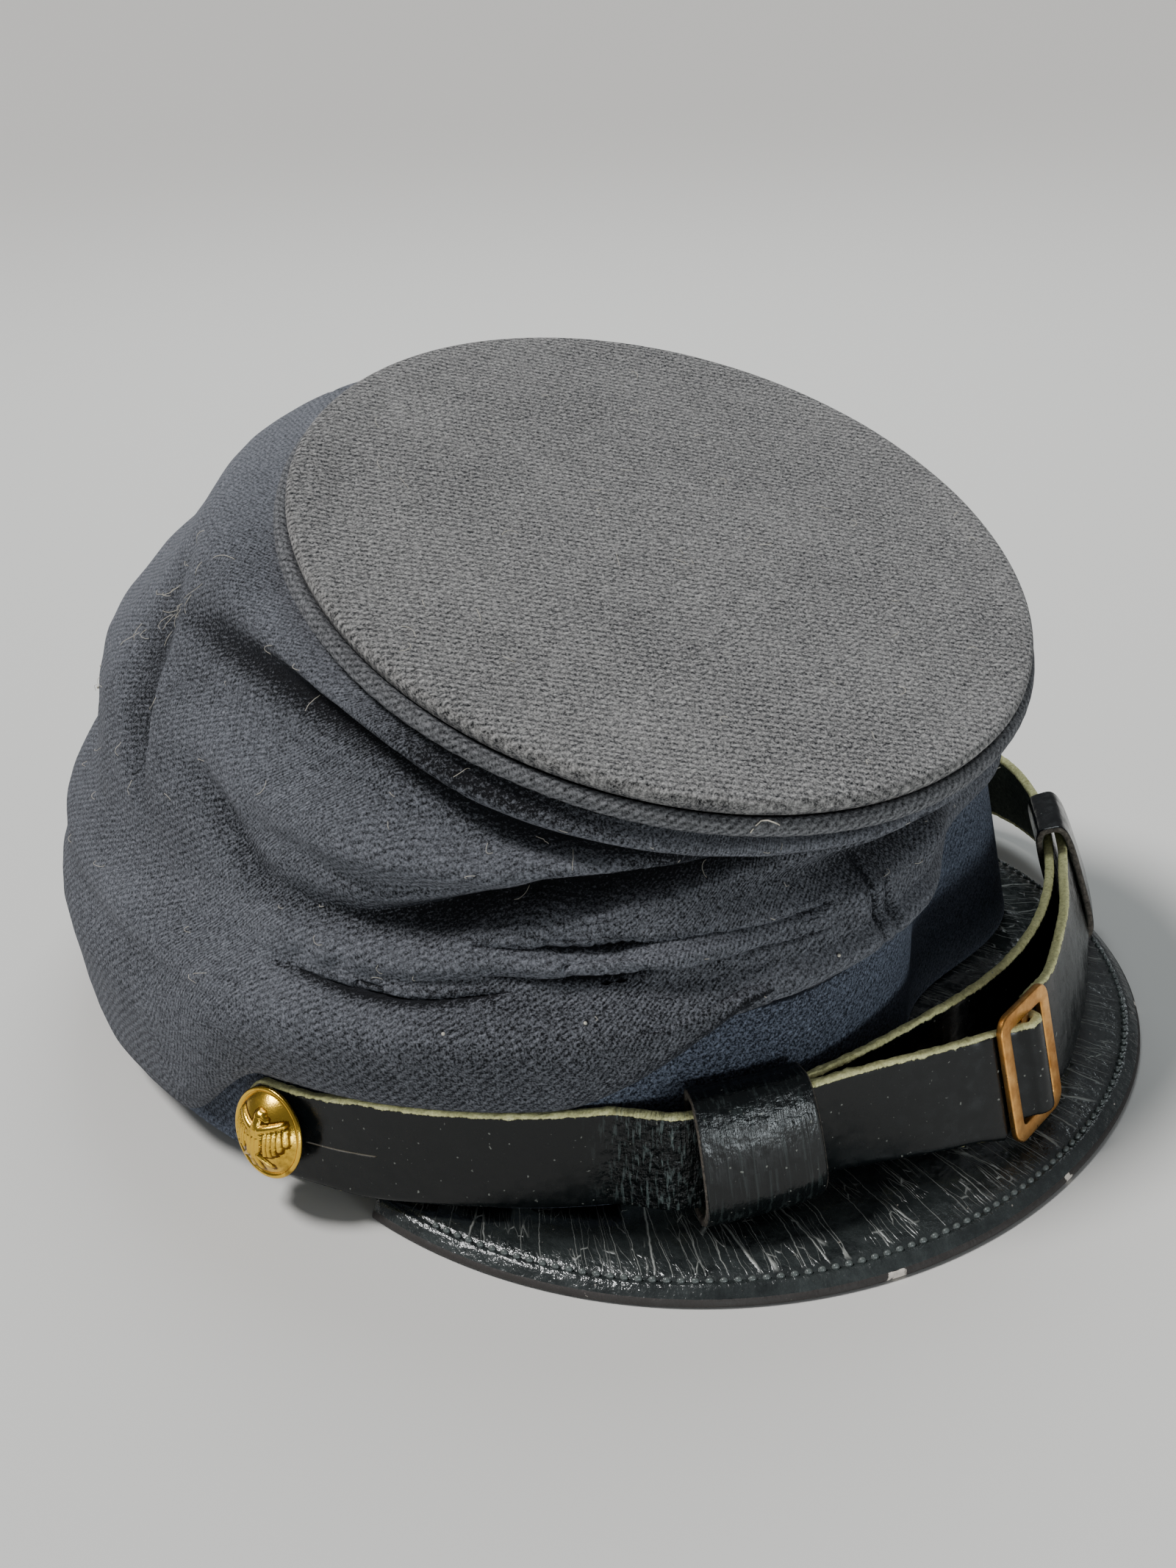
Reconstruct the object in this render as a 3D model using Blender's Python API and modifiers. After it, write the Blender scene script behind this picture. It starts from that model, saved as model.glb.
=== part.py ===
"""A wool forage cap of the kepi family, resting on its rear rim and the front edge of its peak.

The front of the cap faces -Y and the wearer's right is -X. Angles round the cap are degrees from the
front, and grow towards the wearer's right. Heights are above the surface that the cap stands on.
Every piece is drawn round the middle of the head band, and place() then puts the origin under the
middle of the whole cap.
"""

import math

import bmesh
import bpy
import numpy as np
from mathutils import Matrix, Vector

MM = 0.001
GAP = 0.35 * MM  # between pieces that touch on the real cap

# Where the middle of the head band stands, seen from the middle of the whole cap.
BAND_MIDDLE = Vector((0.05 * MM, 4.3 * MM, 0.0))

# Head band: an oval of 57 cm round its outside, cloth over a stiffener.
BAND_HALF_WIDTH = 88 * MM
BAND_FRONT = 90 * MM
BAND_BACK = 101 * MM
BAND_HEIGHT = 34 * MM
BAND_WALL = 2.2 * MM
FRONT_LIFT = 6 * MM  # the band's front is held up by the peak
LIFT_FROM_Y = 60 * MM  # behind this the rim lies flat
LIFT_TO_Y = -90 * MM
BAND_SIDES = 64

# Where the band is pushed out of its oval: middle angle, half width of the dent, depth in mm
BAND_DENTS = (
    (-14, 31, 15.3),
    (12, 14, 3.0),
    (-50, 30, -1.5),
)
# Where its upper edge leans inward: middle angle, half width, mm at the top
BAND_LEAN = (-45, 45, 6.4)

# Crown: a round top that has slumped forward, and a wall of cloth gathered into folds below it.
TOP_RADIUS = 66.8 * MM
TOP_MIDDLE = Vector((2.0 * MM, -27.6 * MM, 93.8 * MM))
TOP_FORWARD_TILT = 21.6
TOP_SIDE_TILT = -2.3
TOP_THICK = 3.0 * MM
TOP_EDGE_ROUND = 1.4 * MM
WELT_DROP = 4.9 * MM  # from the top's upper face to the middle of the welt
WELT_RADIUS = 1.6 * MM
WELT_REACH = 66.9 * MM
WALL_TOP_DROP = 7.8 * MM
WALL_TOP_REACH = 65.6 * MM
WALL_CLOTH = 1.6 * MM
WALL_COLUMNS = 60
WALL_LOWEST_SHARE = 0.05

# The folds whose lines the wall's rings follow, how many rings lead up to each of them, and the
# share of the way up at which that ring runs level round the back
WALL_GUIDES = (
    ("front_crease", 3, 0.30),
    ("deep_fold", 3, 0.50),
    ("side_bulge", 2, 0.65),
    ("under_top", 2, 0.78),
    ("top_ledge", 2, 0.94),
)
RINGS_TO_TOP = 2

# The wall's foot, where its cloth leaves the band's top seam. Where the crown bags out, the cloth
# first drops over the band and then turns up again; elsewhere it goes straight up. In mm: how far
# outside the band's face and above its top, where it bags, and the same where it doesn't; and the
# share that the row takes of the bag's further drop at the back
WALL_FOOT = (
    (-1.2, 1.15, -1.2, 1.15, 0.0),
    (0.5, 1.05, -0.7, 1.5, 0.0),
    (1.45, -0.6, -0.4, 1.9, 0.0),
    (1.5, -6.2, -0.3, 2.3, 0.55),
    (2.3, -11.3, -0.1, 2.8, 1.0),
    (3.8, -9.6, 0.0, 3.1, 0.97),
    (5.0, -5.2, 0.1, 3.4, 0.6),
    (5.7, -0.8, 0.2, 3.7, 0.2),
)
BAG_OUT = 5.8 * MM  # how far the bag stands out just above the foot
BAG_SHARE = 0.26  # of the way up, where it has run out
BAG_STARTS = 22  # degrees from the front, on the wearer's right
BAG_FULL = 50
BAG_LEFT_STARTS = 95
BAG_LEFT_FULL = 122
BAG_DEEPENS_FROM = 86  # past the strap's ends the bag hangs nearly to the rim
BAG_DEEPENS_TO = 98
BAG_FURTHER_DROP = 16.5 * MM

# How the wall climbs at the back, where it stands tallest: share of the cloth's way up, share of the
# way out from the top's edge to the band, share of the height climbed
BACK_PROFILE = (
    (0.00, 1.05, 0.00),
    (0.10, 1.07, 0.10),
    (0.20, 0.99, 0.20),
    (0.30, 0.90, 0.29),
    (0.40, 0.87, 0.39),
    (0.50, 0.83, 0.49),
    (0.60, 0.76, 0.60),
    (0.70, 0.64, 0.70),
    (0.78, 0.51, 0.785),
    (0.86, 0.40, 0.88),
    (0.93, 0.26, 0.985),
    (1.00, 0.00, 1.00),
)
BACK_STARTS = 55  # degrees from the front where the back's profile begins to take over
BACK_FULL = 130
BACK_LEFT_STARTS = 80
BACK_LEFT_FULL = 140

# Folds of the wall: name, from angle, to angle, share of the way up at the start, middle and end,
# half width as such a share, mm out (in where negative)
FOLDS = (
    ("lower_roll", -62, 112, 0.15, 0.14, 0.16, 0.14, 2.0),
    ("seam_pucker", 82, 52, 0.06, 0.06, 0.08, 0.05, -1.8),
    ("band_dent", 54, 32, 0.14, 0.17, 0.20, 0.06, -2.0),
    ("front_crease", 66, 12, 0.26, 0.29, 0.36, 0.06, -3.4),
    ("front_lobe", 68, 20, 0.37, 0.42, 0.52, 0.08, 2.6),
    ("deep_fold", 84, 26, 0.46, 0.50, 0.68, 0.13, -8.5),
    ("side_bulge", 112, 44, 0.60, 0.65, 0.72, 0.15, 1.6),
    ("under_top", 136, 26, 0.75, 0.82, 0.77, 0.10, -4.6),
    ("top_ledge", 105, -30, 0.95, 0.94, 0.94, 0.05, 1.8),
    ("front_tuck", 42, -95, 0.74, 0.66, 0.66, 0.24, -6.0),
    ("left_bulge", -85, -150, 0.42, 0.45, 0.50, 0.16, 3.0),
    ("left_fold", -70, -150, 0.78, 0.80, 0.74, 0.10, -3.5),
    ("left_tuck", -45, -115, 0.84, 0.84, 0.84, 0.16, -3.0),
)
FOLD_FADE = 20  # degrees over which a fold's ends run out

# Peak: a crescent of patent leather whose outer edge lies on the surface.
PEAK_HALF_WIDTH = 84.3 * MM
PEAK_CORNER_Y = -32.5 * MM
PEAK_REACH = 83.5 * MM
PEAK_SQUARENESS = 2.1
PEAK_THICK = 2.3 * MM
PEAK_BAND_ANGLE = 69  # where the peak's corners meet the band
PEAK_UNDER_BAND = 2.0 * MM
PEAK_STATIONS = 43
PEAK_ROWS = 6
PEAK_DISH = 0.9 * MM
PEAK_DIP = 0.42  # under the strap, next to the seam, as a share of the fall from rim to edge

# Chin strap: leather strips on edge, standing just above the peak.
STRAP_WIDTH = 20.0 * MM
STRAP_THICK = 1.8 * MM
STRAP_CLEARS_RIM = 1.2 * MM
BUTTON_ANGLE = 79.4
STRAP_TAB = 7.2 * MM  # how far the strap's rounded end reaches past its button
STRAP_END_ROUND = 7.8 * MM
STRAP_END_HALF = 8.4 * MM  # the strap narrows towards its buttonholes
STRAP_NARROWS = (32 * MM, 12 * MM)  # from and to these distances before its tip
STRAP_END_LEAN = 2.4 * MM  # how far its lower edge leans out at the buttons
STRAP_LEANS_FROM = 55
STRAP_LEAN_FULL = 80
STRAP_TIP_HALF = 1.5 * MM  # half the height of the end's first edge
TAIL_STARTS = 4.3 * MM  # past the buckle's middle

# Keepers: loops of leather round the strap's two layers.
KEEPER_LENGTH = 18.5 * MM
KEEPER_WALL = 1.3 * MM
KEEPER_HALF_HEIGHT = 12.0 * MM
KEEPER_FAR_HALF_HEIGHT = 13.1 * MM
KEEPER_FAR_RAISED = 1.12 * MM
KEEPER_SWELL = 1.0 * MM  # how much further it stands out in front than behind
KEEPER_SQUARENESS = 0.26
KEEPER_SIDES = 20
KEEPER_NEAR_SKEW = 0.10  # its lower end lies further along the strap, as a share of height
KEEPER_NEAR_ANGLE = 30
KEEPER_FAR_INSIDE = 3.4 * MM

# Buckle: a flat brass frame with a bar down its middle.
BUCKLE_WIDTH = 16.5 * MM
BUCKLE_HEIGHT = 23.5 * MM
BUCKLE_FRAME = 2.9 * MM
BUCKLE_THICK = 1.2 * MM
BUCKLE_CORNER = 2.4 * MM
BUCKLE_WINDOW_CORNER = 0.7 * MM
BUCKLE_BAR = 1.8 * MM
BUCKLE_MIDDLE = Vector((-0.3 * MM, -105.2 * MM, 17.2 * MM))
BUCKLE_LEAN = 13
BUCKLE_TURN = 2.5

# Buttons: hollow domed buttons with a rolled rim, on a shank through the strap and the band.
BUTTON_RADIUS = 7.8 * MM
BUTTON_RIM = 1.3 * MM
BUTTON_DOME = 3.6 * MM
BUTTON_TILTS_UP = 15
BUTTON_TURNS_BACK = 6
BUTTON_LIFT = 1.1 * MM  # what the tilt lifts its middle off the strap
SHANK_RADIUS = 1.5 * MM
SHANK_HOLE_RADIUS = 1.9 * MM
SHANK_PAST_BAND = 1.6 * MM
BUTTON_SIDES = 22


# ---------------------------------------------------------------- scene and materials


def clear_scene():
    for thing in list(bpy.data.objects):
        bpy.data.objects.remove(thing, do_unlink=True)


def collection(name):
    group = bpy.data.collections.new(name)
    bpy.context.scene.collection.children.link(group)
    return group


def material(name, colour, roughness, metallic=0.0):
    made = bpy.data.materials.new(name)
    made.use_nodes = True
    shader = made.node_tree.nodes["Principled BSDF"]
    shader.inputs["Base Color"].default_value = (*colour, 1.0)
    shader.inputs["Roughness"].default_value = roughness
    shader.inputs["Metallic"].default_value = metallic
    return made


def place(name, mesh, finish):
    """An object of this mesh in the cap's collection, standing where the band's middle is the origin."""
    made = bpy.data.objects.new(name, mesh)
    made.data.materials.append(finish)
    made.location = BAND_MIDDLE
    CAP.objects.link(made)
    return made


def mesh_from(name, shape, smooth=True):
    bmesh.ops.recalc_face_normals(shape, faces=shape.faces)
    mesh = bpy.data.meshes.new(name)
    shape.to_mesh(mesh)
    shape.free()
    if smooth:
        mesh.shade_smooth()
        mesh.set_sharp_from_angle(angle=math.radians(40))
    return mesh


def loft(shape, rings, rings_closed, whole_loop):
    """Faces between rings of points; each ring closes on itself, and so does the row of rings."""
    made = [[shape.verts.new(point) for point in ring] for ring in rings]
    pairs = list(zip(made, made[1:]))
    if whole_loop:
        pairs.append((made[-1], made[0]))
    for ring, following in pairs:
        count = len(ring)
        for i in range(count if rings_closed else count - 1):
            j = (i + 1) % count
            shape.faces.new((ring[i], ring[j], following[j], following[i]))
    return made


# ---------------------------------------------------------------- shared curves


def bump(distance, half_width):
    """1 in the middle, 0 at half_width and beyond, with a soft foot."""
    share = np.clip(np.abs(distance) / half_width, 0.0, 1.0)
    return 0.5 * (1.0 + np.cos(np.pi * share))


def ramp(value, start, full):
    """0 before start, 1 past full, with a soft foot and head."""
    share = np.clip((value - start) / (full - start), 0.0, 1.0)
    return share * share * (3.0 - 2.0 * share)


def smooth_through(places, values, at):
    """A Catmull-Rom curve through values given at rising places."""
    places, values, at = (np.asarray(row, float) for row in (places, values, at))
    slopes = np.gradient(values, places, axis=0)
    i = np.clip(np.searchsorted(places, at) - 1, 0, len(places) - 2)
    span = places[i + 1] - places[i]
    t = (at - places[i]) / span
    if values.ndim > 1:
        t, span = t[:, None], span[:, None]
    return (
        (2 * t**3 - 3 * t**2 + 1) * values[i]
        + (t**3 - 2 * t**2 + t) * span * slopes[i]
        + (3 * t**2 - 2 * t**3) * values[i + 1]
        + (t**3 - t**2) * span * slopes[i + 1]
    )


def lift_at(y):
    """Height of the band's lower rim: flat behind, raised at the front."""
    return FRONT_LIFT * np.clip((LIFT_FROM_Y - y) / (LIFT_FROM_Y - LIFT_TO_Y), 0.0, 1.0)


def band_outline(angle, outward=0.0):
    """Plan points of the band's outer face, moved outward, as an array of x and y."""
    turn = np.radians(np.asarray(angle, float))
    across, along = np.sin(turn), np.cos(turn)
    reach = np.where(along > 0, BAND_FRONT, BAND_BACK)
    normal = np.stack([-across / BAND_HALF_WIDTH, -along / reach], -1)
    normal /= np.linalg.norm(normal, axis=-1, keepdims=True)
    dent = 0.0
    for middle, half, depth in BAND_DENTS:
        away = (np.asarray(angle, float) - middle + 180.0) % 360.0 - 180.0
        dent = dent + depth * MM * bump(away, half)
    oval = np.stack([-BAND_HALF_WIDTH * across, -reach * along], -1)
    return oval + normal * (outward - dent)[..., None]


def band_lean(angle, height_share=1.0):
    """How far the band's face stands in from its rim, at a share of its height."""
    middle, half, inward = BAND_LEAN
    return inward * MM * bump(angle - middle, half) * np.clip(height_share, 0.0, 1.0)


def band_normal(angle):
    turn = math.radians(angle)
    reach = BAND_FRONT if math.cos(turn) > 0 else BAND_BACK
    return Vector((-math.sin(turn) / BAND_HALF_WIDTH, -math.cos(turn) / reach, 0)).normalized()


# ---------------------------------------------------------------- head band


def make_head_band():
    angles = np.arange(BAND_SIDES) * 360.0 / BAND_SIDES
    rings = []
    angles = np.where(angles > 180, angles - 360, angles)
    for outward, top in ((-BAND_WALL, False), (0, False), (0, True), (-BAND_WALL, True)):
        plan = band_outline(angles, outward - band_lean(angles, float(top)))
        rim = lift_at(band_outline(angles, np.zeros(BAND_SIDES))[:, 1])
        height = rim + BAND_HEIGHT if top else rim
        rings.append([(x, y, z) for (x, y), z in zip(plan, height)])
    shape = bmesh.new()
    loft(shape, rings, rings_closed=True, whole_loop=True)
    return place("head_band", mesh_from("head_band", shape), WOOL)


# ---------------------------------------------------------------- crown


def top_axes():
    """The top's own axes: to the wearer's right, to the front, and out of its face."""
    forward, side = math.radians(TOP_FORWARD_TILT), math.radians(TOP_SIDE_TILT)
    out = Vector((math.sin(side), -math.sin(forward), math.cos(forward) * math.cos(side))).normalized()
    left = Vector((0, 1, 0)).cross(out).normalized()
    back = out.cross(left)
    return -left, -back, out


def top_rim(angle, reach, drop):
    """Points under the top's edge, at these angles."""
    right, front, out = (np.array(axis) for axis in top_axes())
    turn = np.radians(angle)[..., None]
    middle = np.array(TOP_MIDDLE) - out * drop
    return middle + reach * (np.sin(turn) * right + np.cos(turn) * front)


def fold_line(name, angle):
    """The share of the wall's way up at which a fold runs; past its ends the line runs on level."""
    _, start, end, low, middle, high, _, _ = next(fold for fold in FOLDS if fold[0] == name)
    along = np.clip((angle - start) / (end - start), 0.0, 1.0)
    return smooth_through((0, 0.5, 1), (low, middle, high), along)


def fold_offset(angle, share):
    """How far the folds move the wall outward at an angle and a share of its way up."""
    total = np.zeros_like(angle)
    for name, start, end, _, _, _, half_width, out in FOLDS:
        along = (angle - start) / (end - start)
        ends = np.minimum(along, 1.0 - along) * abs(end - start)
        across = bump(share - fold_line(name, angle), half_width)
        total += out * MM * ramp(ends, 0.0, FOLD_FADE) * across
    return total


def wall_shares(angle):
    """The rings' shares of the way up at each angle, so that rings run along the main folds."""
    level = np.full_like(angle, WALL_LOWEST_SHARE)
    shares = [level]
    behind = ramp(np.abs(angle), 125, 165)
    guides = [
        (fold_line(name, angle) * (1 - behind) + level_behind * behind, count)
        for name, count, level_behind in WALL_GUIDES
    ]
    for following, count in guides + [(np.ones_like(angle), RINGS_TO_TOP)]:
        shares += [level + (following - level) * step / count for step in range(1, count + 1)]
        level = following
    return shares


def wall_ring(angle, level):
    """The wall's middle surface at a share of its way up for each angle round the cap."""
    rim = lift_at(band_outline(angle, np.zeros_like(angle))[:, 1])
    foot = np.column_stack([band_outline(angle, -band_lean(angle)), rim + BAND_HEIGHT])
    top = top_rim(angle, WALL_TOP_REACH, WALL_TOP_DROP)
    places, outs, climbs = zip(*BACK_PROFILE)
    back = np.where(
        angle > 0,
        ramp(angle, BACK_STARTS, BACK_FULL),
        ramp(-angle, BACK_LEFT_STARTS, BACK_LEFT_FULL),
    )
    out = (1 - back) * (1 - level) + back * smooth_through(places, outs, level)
    climb = (1 - back) * level + back * smooth_through(places, climbs, level)
    points = top + (foot - top) * np.column_stack([out, out, 1 - climb])
    turn = np.radians(angle)
    outward = np.column_stack([-np.sin(turn), -np.cos(turn), np.zeros_like(turn)])
    bag = bag_at(angle) * (1 - back) * BAG_OUT * bump(level, BAG_SHARE)
    return points + outward * (bag + fold_offset(angle, level))[:, None]


def bag_at(angle):
    """How fully the crown bags out over the band: 0 round the front, 1 at the sides and back."""
    right = ramp(angle, BAG_STARTS, BAG_FULL)
    left = ramp(-angle, BAG_LEFT_STARTS, BAG_LEFT_FULL)
    return np.where(angle > 0, right, left)


def wall_foot_ring(angle, row):
    bagged_out, bagged_up, plain_out, plain_up, share_of_drop = row
    bag = bag_at(angle)
    clear = np.clip(bag / 0.2, 0.0, 1.0)  # it stands clear of the band before it drops
    drop = np.clip((bag - 0.2) / 0.8, 0.0, 1.0)
    out = (clear * bagged_out + (1 - clear) * plain_out) * MM
    up = (drop * bagged_up + (1 - drop) * plain_up) * MM
    deeper = drop * ramp(np.abs(angle), BAG_DEEPENS_FROM, BAG_DEEPENS_TO)
    up -= share_of_drop * BAG_FURTHER_DROP * deeper
    plan = band_outline(angle, out - band_lean(angle, 1 + up / BAND_HEIGHT))
    rim = lift_at(band_outline(angle, np.zeros_like(angle))[:, 1])
    return np.column_stack([plan, rim + BAND_HEIGHT + up])


def make_crown_wall():
    angle = np.arange(WALL_COLUMNS) * 360.0 / WALL_COLUMNS
    angle = np.where(angle > 180, angle - 360, angle)
    rings = [wall_foot_ring(angle, row) for row in WALL_FOOT]
    rings += [wall_ring(angle, share) for share in wall_shares(angle)]
    shape = bmesh.new()
    loft(shape, rings, rings_closed=True, whole_loop=False)
    wall = place("crown_wall", mesh_from("crown_wall", shape), WOOL)
    cloth = wall.modifiers.new("cloth", "SOLIDIFY")
    cloth.thickness = WALL_CLOTH
    cloth.offset = 0
    return wall


def turned(name, profile, axis_matrix, finish, steps):
    """A solid turned about its own Z from a profile that runs down its outer side."""
    shape = bmesh.new()
    points = [shape.verts.new((radius, 0, height)) for radius, height in profile]
    for upper, lower in zip(points, points[1:]):
        shape.edges.new((upper, lower))
    mesh = bpy.data.meshes.new(name)
    shape.to_mesh(mesh)
    shape.free()
    made = place(name, mesh, finish)
    made.matrix_world = Matrix.Translation(BAND_MIDDLE) @ axis_matrix
    screw = made.modifiers.new("turn", "SCREW")
    screw.steps = screw.render_steps = steps
    screw.use_merge_vertices = True
    screw.merge_threshold = 0.00001
    screw.use_smooth_shade = True
    return made


def top_matrix(drop):
    right, front, out = top_axes()
    turn = Matrix((-right, -front, out)).transposed().to_4x4()
    return Matrix.Translation(TOP_MIDDLE - out * drop) @ turn


def arc(middle_radius, middle_height, radius, start, end, count):
    """Points of an arc in a profile, angles in degrees from outward, positive upward."""
    return [
        (
            middle_radius + radius * math.cos(math.radians(a)),
            middle_height + radius * math.sin(math.radians(a)),
        )
        for a in np.linspace(start, end, count)
    ]


def make_crown_top():
    edge = TOP_RADIUS - TOP_EDGE_ROUND
    upper = arc(edge, -TOP_EDGE_ROUND, TOP_EDGE_ROUND, 90, 0, 4)
    profile = [(0, 0), *upper, (TOP_RADIUS - 0.6 * MM, -TOP_THICK), (0, -TOP_THICK)]
    return turned("crown_top", profile, top_matrix(0), WOOL, 56)


def make_crown_welt():
    bpy.ops.mesh.primitive_torus_add(
        major_radius=WELT_REACH,
        minor_radius=WELT_RADIUS,
        major_segments=64,
        minor_segments=7,
    )
    welt = bpy.context.object
    welt.name = welt.data.name = "crown_welt"
    welt.data.materials.append(WOOL)
    welt.data.shade_smooth()
    welt.matrix_world = Matrix.Translation(BAND_MIDDLE) @ top_matrix(WELT_DROP)
    for group in list(welt.users_collection):
        group.objects.unlink(welt)
    CAP.objects.link(welt)
    return welt


# ---------------------------------------------------------------- peak


def peak_edge(share):
    """The peak's outer edge, from its left corner at -1 to its right corner at 1."""
    turn = math.radians(90 * share)
    square = 2.0 / PEAK_SQUARENESS
    across = math.copysign(abs(math.sin(turn)) ** square, -share)
    along = max(math.cos(turn), 0.0) ** square
    return Vector((PEAK_HALF_WIDTH * across, PEAK_CORNER_Y - PEAK_REACH * along, PEAK_THICK))


def make_peak():
    upper, lower = [], []
    for share in np.linspace(-1, 1, PEAK_STATIONS):
        angle = np.array([PEAK_BAND_ANGLE * share])
        x, y = band_outline(angle, np.array([-PEAK_UNDER_BAND]))[0]
        rim = lift_at(band_outline(angle, np.array([0.0]))[0][1])
        inner = Vector((x, y, rim - GAP))
        outer = peak_edge(share)
        ring = []
        for across in np.linspace(0, 1, PEAK_ROWS):
            point = inner.lerp(outer, across)
            point.z += PEAK_DISH * math.sin(math.pi * across) * across
            point.z -= PEAK_DIP * (inner.z - outer.z) * float(bump(across - 0.2, 0.25))
            ring.append(point)
        upper.append(ring)
        lower.append([point - Vector((0, 0, PEAK_THICK)) for point in ring])
    shape = bmesh.new()
    rings = [above + below[::-1] for above, below in zip(upper, lower)]
    made = loft(shape, rings, rings_closed=True, whole_loop=False)
    cap_ends(shape, made, PEAK_ROWS)
    return place("peak", mesh_from("peak", shape), PATENT_LEATHER)


def cap_ends(shape, rings, rows):
    """Closes the two ends of a flat section whose far side runs back under its near side."""
    for ring in (rings[0], rings[-1]):
        for i in range(rows - 1):
            j = len(ring) - 1 - i
            shape.faces.new((ring[i], ring[i + 1], ring[j - 1], ring[j]))


# ---------------------------------------------------------------- chin strap

LAYER = STRAP_THICK + GAP
HUG = GAP + STRAP_THICK / 2  # from the band's face to the middle of a strip that lies on it
UNDER_KEEPER = HUG + KEEPER_WALL + GAP

# Routes of the strips' middles in mm, from the wearer's right to the left: x, y, and how far the
# lower edge leans outward. The outer layer runs from the near keeper to the buckle.
OUTER_LAYER = (
    (-27.4, -92.9, 1.6),
    (-18.5, -98.4, 3.4),
    (-12.0, -102.0, 4.6),
)
# The inner layer bows out in front of the dented band and runs on to the far button.
INNER_LAYER = (
    (-25.0, -88.6, 0.6),
    (-12.0, -91.4, 1.2),
    (2.0, -93.7, 1.8),
    (16.0, -93.8, 2.6),
    (30.0, -91.3, 3.4),
    (43.5, -86.6, 4.6),
    (55.5, -80.8, 6.2),
    (67.0, -74.1, 7.2),
    (78.4, -65.0, 7.4),
    (87.0, -54.2, 6.4),
    (91.0, -44.2, 5.0),
    (91.0, -34.6, 3.6),
)
# The second outer strip runs from behind the buckle to the far keeper.
TAIL_LAYER = (
    (12.5, -102.6, 4.6),
    (24.0, -98.9, 4.8),
    (36.0, -94.1, 5.2),
    (47.0, -88.4, 5.8),
    (57.0, -83.2, 6.4),
    (65.6, -77.9, 7.2),
)
KEEPER_FAR = (
    (55.4, -82.6, 6.2),
    (62.3, -78.4, 6.8),
    (69.8, -73.4, 7.3),
)


def strap_route(rows, spacing=3.0 * MM):
    """A smooth route through rows of x, y and lean in metres, at even spacing."""
    rows = np.asarray(rows, float)
    steps = np.linalg.norm(np.diff(rows[:, :2], axis=0), axis=1)
    places = np.concatenate([[0], np.cumsum(steps)])
    count = max(int(places[-1] / spacing), 3)
    return smooth_through(places, rows, np.linspace(0, places[-1], count + 1))


def strap_frames(route):
    """Middle, direction along, and leaning upright of the strap at each point of its route."""
    frames = []
    along = np.gradient(route[:, :2], axis=0)
    for (x, y, lean), (dx, dy) in zip(route, along):
        ahead = Vector((dx, dy, 0)).normalized()
        outward = Vector((ahead.y, -ahead.x, 0))
        upright = (Vector((0, 0, STRAP_WIDTH)) - outward * lean).normalized()
        bottom = lift_at(y) + STRAP_CLEARS_RIM
        frames.append((Vector((x, y, bottom + STRAP_WIDTH / 2 * upright.z)), ahead, upright))
    return frames


def strip(name, frames, half_widths):
    """A strip of leather on edge: at each frame its half width may differ, as at a rounded end."""
    rings = []
    for (middle, ahead, upright), half in zip(frames, half_widths):
        through = ahead.cross(upright).normalized() * (STRAP_THICK / 2)
        up = upright * half
        rings.append(
            [middle + up + through, middle + up - through, middle - up - through, middle - up + through]
        )
    shape = bmesh.new()
    made = loft(shape, rings, rings_closed=True, whole_loop=False)
    for ring in (made[0], made[-1]):
        shape.faces.new(ring)
    return place(name, mesh_from(name, shape), PATENT_LEATHER)


def strap_lean(angle):
    """How far the strap's lower edge leans out where it lies on the band."""
    return STRAP_END_LEAN * ramp(np.abs(angle), STRAP_LEANS_FROM, STRAP_LEAN_FULL)


def hugging(start, end, outward, count=14):
    """Route points whose upper edge keeps a distance outside the band, between two angles."""
    angles = np.linspace(start, end, count)
    lean = strap_lean(angles)
    plan = band_outline(angles, outward + lean / 2)
    return [(x, y, edge) for (x, y), edge in zip(plan, lean)]


def in_mm(rows):
    return [tuple(value * MM for value in row) for row in rows]


def rounded_end(frames, tip):
    """Half widths of a strip that narrows towards the frame tip and ends nearly in a half circle."""
    halves = []
    for middle, _, _ in frames:
        away = (middle - tip[0]).length
        narrowed = float(ramp(-away, -STRAP_NARROWS[0], -STRAP_NARROWS[1]))
        half = STRAP_WIDTH / 2 + (STRAP_END_HALF - STRAP_WIDTH / 2) * narrowed
        inward = STRAP_END_ROUND - min(away, STRAP_END_ROUND)
        round_half = math.sqrt(STRAP_END_ROUND**2 - inward**2)
        halves.append(min(round_half + STRAP_TIP_HALF, half))
    return halves


def tab_angle(side):
    """The angle where the strap's end lies, past its button towards the back."""
    return side * (BUTTON_ANGLE + math.degrees(STRAP_TAB / BAND_HALF_WIDTH))


def buckle_axes():
    """Along the strap, out of the frame's face, and up the leaning frame."""
    turn, lean = math.radians(BUCKLE_TURN), math.radians(BUCKLE_LEAN)
    along = Vector((math.cos(turn), math.sin(turn), 0))
    out = Vector((along.y, -along.x, 0))
    upright = Vector((0, 0, math.cos(lean))) - out * math.sin(lean)
    return along, along.cross(upright).normalized(), upright


def at_buckle(across, out):
    along, outward, _ = buckle_axes()
    return BUCKLE_MIDDLE + along * across + outward * out


def curl_frames():
    """The right strip's end: behind the frame, out through its window and round the middle bar."""
    _, _, upright = buckle_axes()
    behind = -(BUCKLE_THICK / 2 + GAP + STRAP_THICK / 2)
    round_bar = BUCKLE_BAR / 2 + GAP + STRAP_THICK / 2
    middles = [at_buckle(-BUCKLE_WIDTH / 2 - 1.0 * MM, behind - 0.1 * MM)]
    middles.append(at_buckle(-BUCKLE_WIDTH / 2 + BUCKLE_FRAME, behind))
    for degrees in range(155, -121, -25):
        turn = math.radians(degrees)
        middles.append(at_buckle(round_bar * math.cos(turn), round_bar * math.sin(turn)))
    frames = []
    for i, middle in enumerate(middles):
        ahead = middles[min(i + 1, len(middles) - 1)] - middles[max(i - 1, 0)]
        frames.append((middle, ahead.normalized(), upright))
    return frames


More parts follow.
